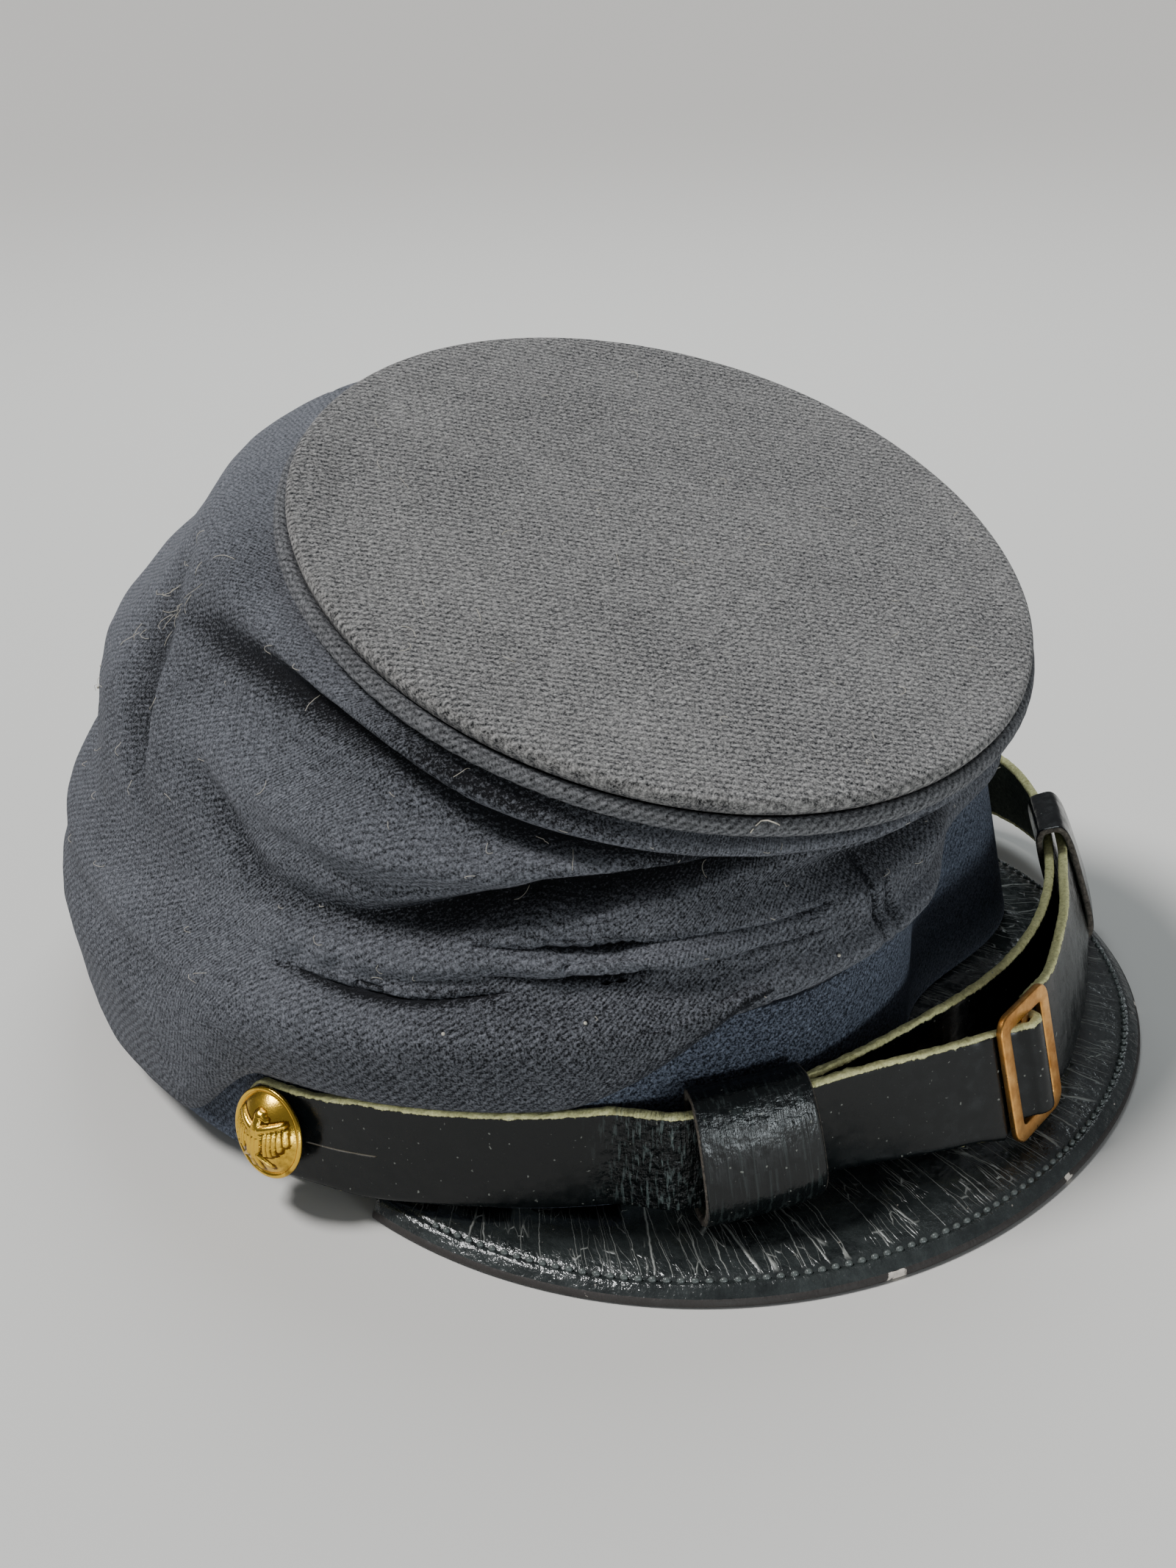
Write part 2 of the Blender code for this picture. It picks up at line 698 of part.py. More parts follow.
def make_strap_right():
    keeper = KEEPER_NEAR_ANGLE
    rows = hugging(tab_angle(1), keeper + 14, HUG, count=18)
    rows += hugging(keeper + 7, keeper - 6, UNDER_KEEPER + LAYER, count=4)
    rows += in_mm(OUTER_LAYER)
    frames = strap_frames(strap_route(rows))
    halves = rounded_end(frames, frames[0])
    curl = curl_frames()
    in_window = (BUCKLE_HEIGHT - 2 * BUCKLE_FRAME) / 2 - GAP
    halves += [STRAP_WIDTH / 2] + [in_window] * (len(curl) - 1)
    return strip("strap_right", frames + curl, halves)


def make_strap_left():
    keeper = KEEPER_NEAR_ANGLE
    rows = hugging(keeper + 5, keeper - 6, UNDER_KEEPER, count=4)
    rows += in_mm(INNER_LAYER)
    rows += hugging(-BUTTON_ANGLE + 9, tab_angle(-1), HUG, count=5)
    frames = strap_frames(strap_route(rows))
    return strip("strap_left", frames, rounded_end(frames, frames[-1]))


def make_strap_tail():
    behind = -(BUCKLE_THICK / 2 + GAP + STRAP_THICK / 2)
    lean = STRAP_WIDTH * math.sin(math.radians(BUCKLE_LEAN))
    start = at_buckle(TAIL_STARTS, behind)
    rows = [(start.x, start.y, lean)] + in_mm(TAIL_LAYER)
    frames = strap_frames(strap_route(rows))
    return strip("strap_tail", frames, [STRAP_WIDTH / 2] * len(frames))


def keeper_section(half_height, half_back, half_front):
    """Points of a keeper's section: flat to the cap, rounder in front. Out, then up."""
    points = []
    for i in range(KEEPER_SIDES):
        turn = 2 * math.pi * i / KEEPER_SIDES
        out = math.copysign(abs(math.cos(turn)) ** KEEPER_SQUARENESS, math.cos(turn))
        up = math.copysign(abs(math.sin(turn)) ** KEEPER_SQUARENESS, math.sin(turn))
        points.append((out * (half_front if out > 0 else half_back), up * half_height))
    return points


def make_keeper(name, rows, inside_depth, half_height, raised, skew):
    """A loop of leather swept a little way along the strap's own curve."""
    frames = strap_frames(strap_route(rows, spacing=KEEPER_LENGTH / 4))
    inner = keeper_section(half_height - KEEPER_WALL, inside_depth, inside_depth + KEEPER_SWELL)
    deep = inside_depth + KEEPER_WALL
    outer = keeper_section(half_height, deep, deep + KEEPER_SWELL)

    def rings(section, run):
        return [
            [
                middle + ahead.cross(upright) * out + upright * (up + raised) - ahead * up * skew
                for out, up in section
            ]
            for middle, ahead, upright in run
        ]

    shape = bmesh.new()
    loft(shape, rings(outer, frames) + rings(inner, frames[::-1]), rings_closed=True, whole_loop=True)
    return place(name, mesh_from(name, shape), KEEPER_LEATHER)


def make_keepers():
    middle = UNDER_KEEPER + LAYER / 2
    half_turn = math.degrees(KEEPER_LENGTH / 2 / BAND_FRONT)
    near = hugging(KEEPER_NEAR_ANGLE + half_turn, KEEPER_NEAR_ANGLE - half_turn, middle, count=5)
    near_inside = LAYER / 2 + STRAP_THICK / 2 + GAP
    make_keeper("keeper_near", near, near_inside, KEEPER_HALF_HEIGHT, 0.0, KEEPER_NEAR_SKEW)
    far = in_mm(KEEPER_FAR)
    make_keeper("keeper_far", far, KEEPER_FAR_INSIDE, KEEPER_FAR_HALF_HEIGHT, KEEPER_FAR_RAISED, 0.0)


# ---------------------------------------------------------------- buckle and buttons


def rounded_rectangle(left, right, low, high, radius):
    """Corner points of an outline with rounded corners, anticlockwise."""
    points = []
    corners = ((right, high, 0), (left, high, 90), (left, low, 180), (right, low, 270))
    for x, y, start in corners:
        cx = x - math.copysign(radius, x - (left + right) / 2)
        cy = y - math.copysign(radius, y)
        for degrees in np.linspace(start, start + 90, 4):
            turn = math.radians(degrees)
            points.append((cx + radius * math.cos(turn), cy + radius * math.sin(turn)))
    return points


def make_buckle():
    """A flat frame with two windows, which leave the bar that the strip's end curls round."""
    half_wide, half_high = BUCKLE_WIDTH / 2, BUCKLE_HEIGHT / 2
    window_high = half_high - BUCKLE_FRAME
    window_wide = half_wide - BUCKLE_FRAME
    outlines = [rounded_rectangle(-half_wide, half_wide, -half_high, half_high, BUCKLE_CORNER)]
    for left, right in ((-window_wide, -BUCKLE_BAR / 2), (BUCKLE_BAR / 2, window_wide)):
        outlines.append(rounded_rectangle(left, right, -window_high, window_high, BUCKLE_WINDOW_CORNER))
    curve = bpy.data.curves.new("buckle", "CURVE")
    curve.dimensions = "2D"
    curve.fill_mode = "BOTH"
    curve.extrude = BUCKLE_THICK / 2
    for outline in outlines:
        spline = curve.splines.new("POLY")
        spline.points.add(len(outline) - 1)
        for point, (x, y) in zip(spline.points, outline):
            point.co = (x, y, 0, 1)
        spline.use_cyclic_u = True
    buckle = place("buckle", curve, BUCKLE_BRASS)
    along, outward, upright = buckle_axes()
    turn = Matrix((along, upright, outward)).transposed().to_4x4()
    buckle.matrix_world = Matrix.Translation(BAND_MIDDLE + BUCKLE_MIDDLE) @ turn
    return buckle


def button_place(side):
    """A button's own axes from the middle of the strip that it holds; it tilts up and back."""
    angle = side * BUTTON_ANGLE
    lean = strap_lean(angle)
    x, y = band_outline(np.array([angle]), np.array([HUG + lean / 2]))[0]
    height = lift_at(y) + STRAP_CLEARS_RIM + STRAP_WIDTH / 2
    out = band_normal(side * (BUTTON_ANGLE + BUTTON_TURNS_BACK))
    out = (out + Vector((0, 0, math.tan(math.radians(BUTTON_TILTS_UP))))).normalized()
    across = Vector((0, 0, 1)).cross(out).normalized()
    turn = Matrix((across, out.cross(across), out)).transposed().to_4x4()
    return Matrix.Translation((x, y, height)) @ turn


def make_buttons():
    """Domed buttons: a hollow shell's outside, its rolled rim, and the shank behind it."""
    back = STRAP_THICK / 2 + GAP + BUTTON_LIFT
    inside = -(HUG + STRAP_END_LEAN / 2 + BAND_WALL + SHANK_PAST_BAND)
    rim_radius = BUTTON_RIM / 2
    crown = back + BUTTON_RIM * 0.75
    dome_radius = BUTTON_RADIUS - BUTTON_RIM
    sphere = (dome_radius**2 + BUTTON_DOME**2) / (2 * BUTTON_DOME)
    reach = math.degrees(math.asin(dome_radius / sphere))
    dome = arc(0, crown + BUTTON_DOME - sphere, sphere, 90, 90 - reach, 6)
    rim = arc(BUTTON_RADIUS - rim_radius, back + rim_radius, rim_radius, 125, -90, 5)
    profile = [*dome, *rim, (SHANK_RADIUS, back), (SHANK_RADIUS, inside), (0, inside)]
    profile[0] = (0, profile[0][1])
    for side, name in ((1, "button_right"), (-1, "button_left")):
        turned(name, profile, button_place(side), BUTTON_GILT, BUTTON_SIDES)


def cut_shank_holes(pieces):
    """Holes for the buttons' shanks through the strips' ends and the band."""
    for side, name in ((1, "hole_right"), (-1, "hole_left")):
        bpy.ops.mesh.primitive_cylinder_add(
            radius=SHANK_HOLE_RADIUS, depth=18 * MM, vertices=16
        )
        cutter = bpy.context.object
        cutter.name = name
        cutter.matrix_world = Matrix.Translation(BAND_MIDDLE) @ button_place(side)
        cutter.hide_render = True
        cutter.display_type = "WIRE"
        for group in list(cutter.users_collection):
            group.objects.unlink(cutter)
        CUTTERS.objects.link(cutter)
        for piece in pieces[side]:
            hole = piece.modifiers.new(name, "BOOLEAN")
            hole.operation = "DIFFERENCE"
            hole.object = cutter


# ---------------------------------------------------------------- the whole cap

clear_scene()
CAP = collection("forage_cap")
CUTTERS = collection("cutters")
WOOL = material("wool_broadcloth", (0.030, 0.032, 0.042), 0.95)
PATENT_LEATHER = material("patent_leather", (0.008, 0.008, 0.010), 0.22)
KEEPER_LEATHER = material("keeper_leather", (0.010, 0.010, 0.011), 0.25)
BUCKLE_BRASS = material("buckle_brass", (0.55, 0.28, 0.12), 0.38, 1.0)
BUTTON_GILT = material("button_gilt", (0.72, 0.48, 0.12), 0.28, 1.0)

band = make_head_band()
make_crown_wall()
make_crown_top()
make_crown_welt()
make_peak()
strap_right = make_strap_right()
strap_left = make_strap_left()
make_strap_tail()
make_keepers()
make_buckle()
make_buttons()
cut_shank_holes({1: (strap_right, band), -1: (strap_left, band)})
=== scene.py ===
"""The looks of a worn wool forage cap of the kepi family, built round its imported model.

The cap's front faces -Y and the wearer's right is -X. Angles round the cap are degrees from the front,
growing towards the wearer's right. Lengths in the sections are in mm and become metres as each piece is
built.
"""

import math
import random

import bmesh
import bpy
import numpy as np
from mathutils import Matrix, Vector, noise


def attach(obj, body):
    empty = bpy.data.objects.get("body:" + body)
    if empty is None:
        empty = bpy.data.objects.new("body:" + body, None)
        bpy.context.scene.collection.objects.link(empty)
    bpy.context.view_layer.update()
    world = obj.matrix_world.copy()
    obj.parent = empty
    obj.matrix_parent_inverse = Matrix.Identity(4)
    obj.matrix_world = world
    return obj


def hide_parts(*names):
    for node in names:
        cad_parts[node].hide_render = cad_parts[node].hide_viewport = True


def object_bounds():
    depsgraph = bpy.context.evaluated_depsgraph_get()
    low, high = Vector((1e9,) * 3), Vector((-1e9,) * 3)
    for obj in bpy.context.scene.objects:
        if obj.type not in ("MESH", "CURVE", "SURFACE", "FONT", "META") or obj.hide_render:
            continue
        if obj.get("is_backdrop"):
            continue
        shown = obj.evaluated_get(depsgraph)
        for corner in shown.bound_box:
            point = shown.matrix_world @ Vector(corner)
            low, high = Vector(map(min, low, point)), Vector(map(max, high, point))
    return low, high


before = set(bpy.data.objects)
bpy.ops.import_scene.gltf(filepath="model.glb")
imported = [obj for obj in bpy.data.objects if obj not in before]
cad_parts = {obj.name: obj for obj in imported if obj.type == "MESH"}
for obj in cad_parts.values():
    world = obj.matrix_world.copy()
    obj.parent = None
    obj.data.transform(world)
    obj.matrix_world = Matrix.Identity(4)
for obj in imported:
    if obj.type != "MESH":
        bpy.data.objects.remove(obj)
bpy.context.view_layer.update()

# ------------------------------------------------------------------------------------------------
# Head band. A 34 mm ring of dark blue broadcloth wrapped over a buckram stiffener and sewn to the
# crown at its upper edge. It is an oval of 57 cm round, pushed in at the front left, where the
# cap was crushed, and its cloth is turned under at both rims.

MM = 0.001
BAND_MIDDLE = np.array((0.05, 4.3, 0.0))  # of the oval, seen from the middle of the whole cap
BAND_HALF_WIDTH = 88.0
BAND_FRONT = 90.0
BAND_BACK = 101.0
BAND_HEIGHT = 34.0
BAND_WALL = 2.2
BAND_DENTS = ((-14, 31, 15.3), (12, 14, 3.0), (-50, 30, -1.5))  # middle angle, half width, depth
BAND_LEAN = (-45, 45, 6.4)  # where its upper edge leans in: middle angle, half width, mm at the top
BAND_FOLD = 0.7  # radius of the cloth's turn over a rim
BAND_PER_DEGREE = 1.57  # mm of its cloth for a degree round the cap
RIM_LIFT = (60.0, 150.0, 6.0)  # y where the lower rim leaves the table, mm forward to its full lift, the lift


def bump(distance, half_width):
    """1 in the middle, 0 at half_width and beyond, with a soft foot."""
    share = np.clip(np.abs(distance) / half_width, 0.0, 1.0)
    return 0.5 * (1.0 + np.cos(np.pi * share))


def ramp(value, start, full):
    """0 before start, 1 past full, with a soft foot and head."""
    share = np.clip((value - start) / (full - start), 0.0, 1.0)
    return share * share * (3.0 - 2.0 * share)


def smooth_through(places, values, at):
    """A Catmull-Rom curve through values given at rising places."""
    places, values, at = (np.asarray(row, float) for row in (places, values, at))
    slopes = np.gradient(values, places, axis=0)
    i = np.clip(np.searchsorted(places, at) - 1, 0, len(places) - 2)
    span = places[i + 1] - places[i]
    t = (at - places[i]) / span
    extra = values.ndim - 1
    t, span = (row.reshape(row.shape + (1,) * extra) for row in (t, span))
    return (
        (2 * t**3 - 3 * t**2 + 1) * values[i]
        + (t**3 - 2 * t**2 + t) * span * slopes[i]
        + (3 * t**2 - 2 * t**3) * values[i + 1]
        + (t**3 - t**2) * span * slopes[i + 1]
    )


def rim_lift(y):
    """Height of the band's lower rim: flat behind, held up by the peak at the front."""
    start, run, lift = RIM_LIFT
    return lift * np.clip((start - y) / run, 0.0, 1.0)


def turned_angle(angle):
    """The same angle between -180 and 180."""
    return (np.asarray(angle, float) + 180.0) % 360.0 - 180.0


def band_outline(angle, outward=0.0):
    """Plan points of the band's outer face, moved outward."""
    angle, outward = np.broadcast_arrays(np.asarray(angle, float), np.asarray(outward, float))
    turn = np.radians(angle)
    across, along = np.sin(turn), np.cos(turn)
    reach = np.where(along > 0, BAND_FRONT, BAND_BACK)
    normal = np.stack([-across / BAND_HALF_WIDTH, -along / reach], -1)
    normal /= np.linalg.norm(normal, axis=-1, keepdims=True)
    dent = sum(depth * bump(turned_angle(angle - middle), half) for middle, half, depth in BAND_DENTS)
    oval = np.stack([-BAND_HALF_WIDTH * across, -reach * along], -1)
    return oval + normal * (outward - dent)[..., None]


def band_lean(angle, height_share=1.0):
    """How far the band's face stands in from its rim, at a share of its height."""
    middle, half, inward = BAND_LEAN
    return inward * bump(turned_angle(angle - middle), half) * np.clip(height_share, 0.0, 1.0)


def band_point(angle, outward, height):
    """Points at a distance outside the band's face and a height above its rim."""
    plan = band_outline(angle, outward - band_lean(angle, height / BAND_HEIGHT))
    rim = rim_lift(band_outline(angle, 0.0)[..., 1])
    return np.concatenate([plan, (rim + height)[..., None]], -1)


def rough(points, size, depth, seed=0.0):
    """Depths of a smooth noise at these points, for the unevenness of cloth and leather."""
    flat = points.reshape(-1, 3) / size + seed
    made = np.array([noise.noise(Vector(point)) for point in flat])
    return depth * made.reshape(points.shape[:-1])


def outward_of(points):
    """Unit normals of a grid of points, from its rows and columns."""
    down = np.gradient(points, axis=0)
    along = np.gradient(points, axis=1)
    normal = np.cross(along, down)
    return normal / np.maximum(np.linalg.norm(normal, axis=-1, keepdims=True), 1e-9)


def grid_of(points, pattern, **marks):
    """An even grid moved to rows of points in mm, with its UV map in mm and its marks as attributes."""
    rows, columns = points.shape[:2]
    shape = bmesh.new()
    bmesh.ops.create_grid(shape, x_segments=columns - 1, y_segments=rows - 1, size=1)
    for vert, place in zip(shape.verts, (points.reshape(-1, 3) + BAND_MIDDLE) * MM):
        vert.co = place
    for name, values in marks.items():
        layer = shape.verts.layers.float.new(name)
        for vert, value in zip(shape.verts, np.broadcast_to(values, (rows, columns)).ravel()):
            vert[layer] = value
    shape.verts.index_update()
    flat = pattern.reshape(-1, 2)
    layer = shape.loops.layers.uv.new("UVMap")
    for face in shape.faces:
        for loop in face.loops:
            loop[layer].uv = flat[loop.vert.index]
    bmesh.ops.remove_doubles(shape, verts=shape.verts, dist=0.002 * MM)
    return shape


def settle(shape, name, finish, slot, *nodes, outside=True):
    """Makes the piece from its bmesh; it stands for these CAD nodes."""
    if outside:
        bmesh.ops.recalc_face_normals(shape, faces=shape.faces)
    mesh = bpy.data.meshes.new(name)
    shape.to_mesh(mesh)
    shape.free()
    mesh.shade_smooth()
    mesh.materials.append(finish)
    piece = bpy.data.objects.new(name, mesh)
    bpy.context.scene.collection.objects.link(piece)
    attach(piece, "root")
    if nodes:
        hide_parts(*nodes)
    return piece


def linear(code):
    """A colour given as sRGB hex, in Blender's linear values."""
    parts = [int(code[i : i + 2], 16) / 255 for i in (0, 2, 4)]
    return (*(c / 12.92 if c <= 0.04045 else ((c + 0.055) / 1.055) ** 2.4 for c in parts), 1.0)


def link(tree, node, **sources):
    """Links sources to a node. A name is its socket, _ for a space, or i and its number. A node that is
    given as a source gives its Fac, or else its first output in use."""
    for name, source in sources.items():
        place = int(name[1:]) if name[1:].isdigit() else name.replace("_", " ")
        if isinstance(source, bpy.types.Node):
            source = source.outputs.get("Fac") or next(out for out in source.outputs if out.enabled)
        tree.links.new(source, node.inputs[place])


def add(tree, kind, settings=None, **sources):
    """Adds a node with its settings, which are properties or sockets, and its links."""
    node = tree.nodes.new("ShaderNode" + kind)
    for key, value in (settings or {}).items():
        if isinstance(key, str) and hasattr(node, key):
            setattr(node, key, value)
        else:
            node.inputs[key].default_value = value
    link(tree, node, **sources)
    return node


def bare_material(name, **settings):
    """A material with only its Principled shader, which gets these settings."""
    made = bpy.data.materials.new(name)
    made.use_nodes = True
    shader = made.node_tree.nodes["Principled BSDF"]
    for key, value in settings.items():
        shader.inputs[key.replace("_", " ")].default_value = value
    return made, made.node_tree, shader


def broadcloth(name, dark, light, twill):
    """Wool broadcloth, a fulled twill of navy and grey yarns with a short fuzzy nap.

    The nap hides most of the weave, so it reads as salt-and-pepper fibres in 0.4 mm flecks and 0.9 mm tufts,
    with faint ribs. Real yarns are 0.5 mm apart. They are drawn 1.05 mm apart and their ribs 1.2 mm, as
    coarse as they need to be to show. A wave's bands lie 0.314 mm / scale apart, 0.444 mm when diagonal."""
    made, tree, shader = bare_material(
        name, Roughness=0.92, Specular_IOR_Level=0.2,
        Sheen_Weight=0.16, Sheen_Roughness=0.45, Sheen_Tint=linear("8A90A0"),
    )
    place = add(tree, "TexCoord").outputs["UV"]
    body = add(tree, "TexCoord").outputs["Object"]
    wander = add(tree, "TexNoise", {"Scale": 0.5, "Detail": 3.0}, Vector=place)
    moved = add(tree, "VectorMath", {"operation": "SCALE", "Scale": 0.5}, i0=wander.outputs["Color"])
    laid = add(tree, "VectorMath", {"operation": "ADD"}, i0=place, i1=moved)
    wave = {"Scale": 0.37, "Distortion": 0.35, "Detail": 2.0, "Detail Scale": 1.6}
    ribs = add(tree, "TexWave", {"bands_direction": "DIAGONAL", **wave}, Vector=laid)
    wave = {"Scale": 0.30, "Distortion": 1.4, "Detail": 2.0, "Detail Scale": 2.0}
    yarns = add(tree, "TexWave", {"bands_direction": "Y", **wave}, Vector=laid)
    crossed = add(tree, "MapRange", {"To Min": 0.35}, Value=yarns)
    weave = add(tree, "Math", {"operation": "MULTIPLY"}, i0=ribs, i1=crossed)
    fibres = add(tree, "TexNoise", {"Scale": 2600.0, "Detail": 4.0, "Roughness": 0.7}, Vector=body)
    tufts = add(tree, "TexNoise", {"Scale": 1150.0, "Detail": 3.0, "Roughness": 0.6}, Vector=body)
    clouds = add(tree, "TexNoise", {"Scale": 38.0, "Detail": 4.0, "Roughness": 0.6}, Vector=body)
    salt = add(tree, "MapRange", {"From Min": 0.40, "From Max": 0.63}, Value=fibres)
    lumps = add(tree, "MapRange", {"From Min": 0.36, "From Max": 0.66}, Value=tufts)
    salted = add(tree, "Math", {"operation": "MULTIPLY", 1: 0.83 - 0.32 * twill}, i0=salt)
    mixed = add(tree, "Math", {"operation": "MULTIPLY_ADD", 1: 0.20}, i0=lumps, i2=salted)
    woven = add(tree, "Math", {"operation": "MULTIPLY_ADD", 1: 0.50 * twill}, i0=weave, i2=mixed)
    faint = {"From Min": 0.35, "From Max": 0.7, "To Min": -0.05, "To Max": 0.05}
    fading_and_painted_light = add(tree, "MapRange", faint, Value=clouds)
    # Painted shade and light from each piece, with some real wear, added to the cloth's tone
    worn = add(tree, "Attribute", {"attribute_name": "worn"})
    tone = add(tree, "Math", {"operation": "ADD"}, i0=woven, i1=fading_and_painted_light)
    tone = add(tree, "Math", {"operation": "ADD", "use_clamp": True}, i0=tone, i1=worn)
    colour = add(tree, "ValToRGB", Fac=tone)
    stops = colour.color_ramp.elements
    stops[0].position, stops[0].color = 0.08, linear(dark)
    stops[1].position, stops[1].color = 1.0, linear(light)
    height = add(tree, "Math", {"operation": "MULTIPLY_ADD", 1: 0.8 * twill}, i0=weave, i2=mixed)
    relief = add(tree, "Bump", {"Strength": 0.7, "Distance": 0.0005}, Height=height)
    link(tree, shader, Base_Color=colour, Normal=relief)
    return made


band_cloth = broadcloth("band_broadcloth", "10141D", "828B9D", twill=0.5)
# The section runs up the outer face, over the upper rim, down the inner face and under the lower rim.
turn = np.radians(np.linspace(0, 90, 4))
corner = BAND_FOLD * np.stack([np.cos(turn) - 1, np.sin(turn) - 1], -1)
section = [(0.0, h) for h in np.linspace(BAND_FOLD, BAND_HEIGHT - BAND_FOLD, 24)]
section += [(x, BAND_HEIGHT + y) for x, y in corner[1:]]
section += [(-BAND_WALL - x, BAND_HEIGHT + y) for x, y in corner[::-1]]
section += [(-BAND_WALL, h) for h in np.linspace(BAND_HEIGHT - 4, 4, 6)]
section += [(-BAND_WALL - x, -y) for x, y in corner]
section += [(x, -y) for x, y in corner[::-1]]
out, height = (np.array(row)[:, None] for row in zip(*section))
angle = np.linspace(-180, 180, 289)[None, :] + 0 * out
behind = ramp(np.abs(angle), 84, 100)  # where a rolled rim shows below the bag
roll = 0.45 * bump(height - 1.4, 1.5) - 0.3 * bump(height - 3.2, 0.8)
out = out + behind * (height < 4) * roll * (out > -0.5)
points = band_point(angle, out, height + 0 * angle)
# Painted shade under the bag and at the front right, painted light low down in the dent, darker upper seam
fading_and_painted_light = 0.14 * ramp(-angle, -9, -3) * ramp(angle, -60, -30) * ramp(-height, -28, -10)
worn = behind * (0.45 * (height < 3) - 0.35) - 0.5 * (height > BAND_HEIGHT - 0.6)
worn = worn - 0.17 * bump(angle - 27, 25) + fading_and_painted_light
way = np.concatenate([[0], np.cumsum(np.hypot(*np.diff(np.array(section), axis=0).T))])
pattern = np.stack([angle * BAND_PER_DEGREE, way[:, None] + 0 * angle], -1)
shape = grid_of(points, pattern, worn=worn)
settle(shape, "head_band_cloth", band_cloth, "wool_broadcloth", "head_band")

# ------------------------------------------------------------------------------------------------
# Crown wall. One piece of the same broadcloth, cut tall, that has slumped: it bags over the band at
# the sides and back, is pushed into deep folds below the top, and is sewn into the top's welt.
# The cloth is 1.6 mm thick and soft, so its folds are round and its puckers short.

TOP_MIDDLE = np.array((2.0, -27.6, 93.8))
TOP_FORWARD_TILT = math.radians(21.6)
TOP_SIDE_TILT = math.radians(-2.3)
WALL_TOP = (65.6, 7.8)  # its reach from the top's middle, and how far below the top's face
WALL_TUCKED = ((65.3, 6.2), (64.2, 4.9), (62.6, 4.3), (60.5, 4.1))  # the same for its edge, turned in
WALL_CLOTH = 1.6
WALL_START = 0.05  # share of the way up where the foot ends
WALL_PER_DEGREE = 1.36  # mm of its cloth for a degree round the cap
FOOT_STEPS = 21
SEAM_STEPS = 14  # of the foot, that lie in the band's seam

# The foot, where the cloth leaves the band's top seam. Where the crown bags out, the cloth drops over
# the band and turns up again; elsewhere it goes straight up. Each row is mm outside and above the band's
# upper edge where it bags, the same where it doesn't, its share of the bag's further drop at the back,
# and how much it keeps to the bag's own fullness.
WALL_FOOT = (
    (-1.2, 1.15, -1.2, 1.15, 0.0, 0.0),
    (0.5, 1.05, -0.7, 1.5, 0.0, 0.0),
    (1.45, -0.6, -0.4, 1.9, 0.0, 0.0),
    (1.5, -6.2, -0.3, 2.3, 0.55, 0.0),
    (2.3, -11.3, -0.1, 2.8, 1.0, 0.25),
    (3.8, -9.6, 0.0, 3.1, 0.97, 0.5),
    (5.0, -5.2, 0.1, 3.4, 0.6, 0.8),
    (5.7, -0.8, 0.2, 3.7, 0.2, 1.0),
)
BAG_OUT = 5.8
BAG_SHARE = 0.26  # of the way up, where the bag has run out
BAG_FURTHER_DROP = 16.5

# The back's profile: share of the cloth's way up, of the way out to the band, of the height climbed.
BACK_PROFILE = (
    (0.00, 1.05, 0.00),
    (0.10, 1.07, 0.10),
    (0.20, 0.99, 0.20),
    (0.30, 0.90, 0.29),
    (0.40, 0.87, 0.39),
    (0.50, 0.83, 0.49),
    (0.60, 0.76, 0.60),
    (0.70, 0.64, 0.70),
    (0.78, 0.51, 0.785),
    (0.86, 0.40, 0.88),
    (0.93, 0.26, 0.985),
    (1.00, 0.00, 1.00),
)

FOLD_TIGHT = 0.03  # half width at which a fold 1 mm deep is as shut in as can be
CREASE_TIGHT = 1.1  # the same for an upright crease, in degrees
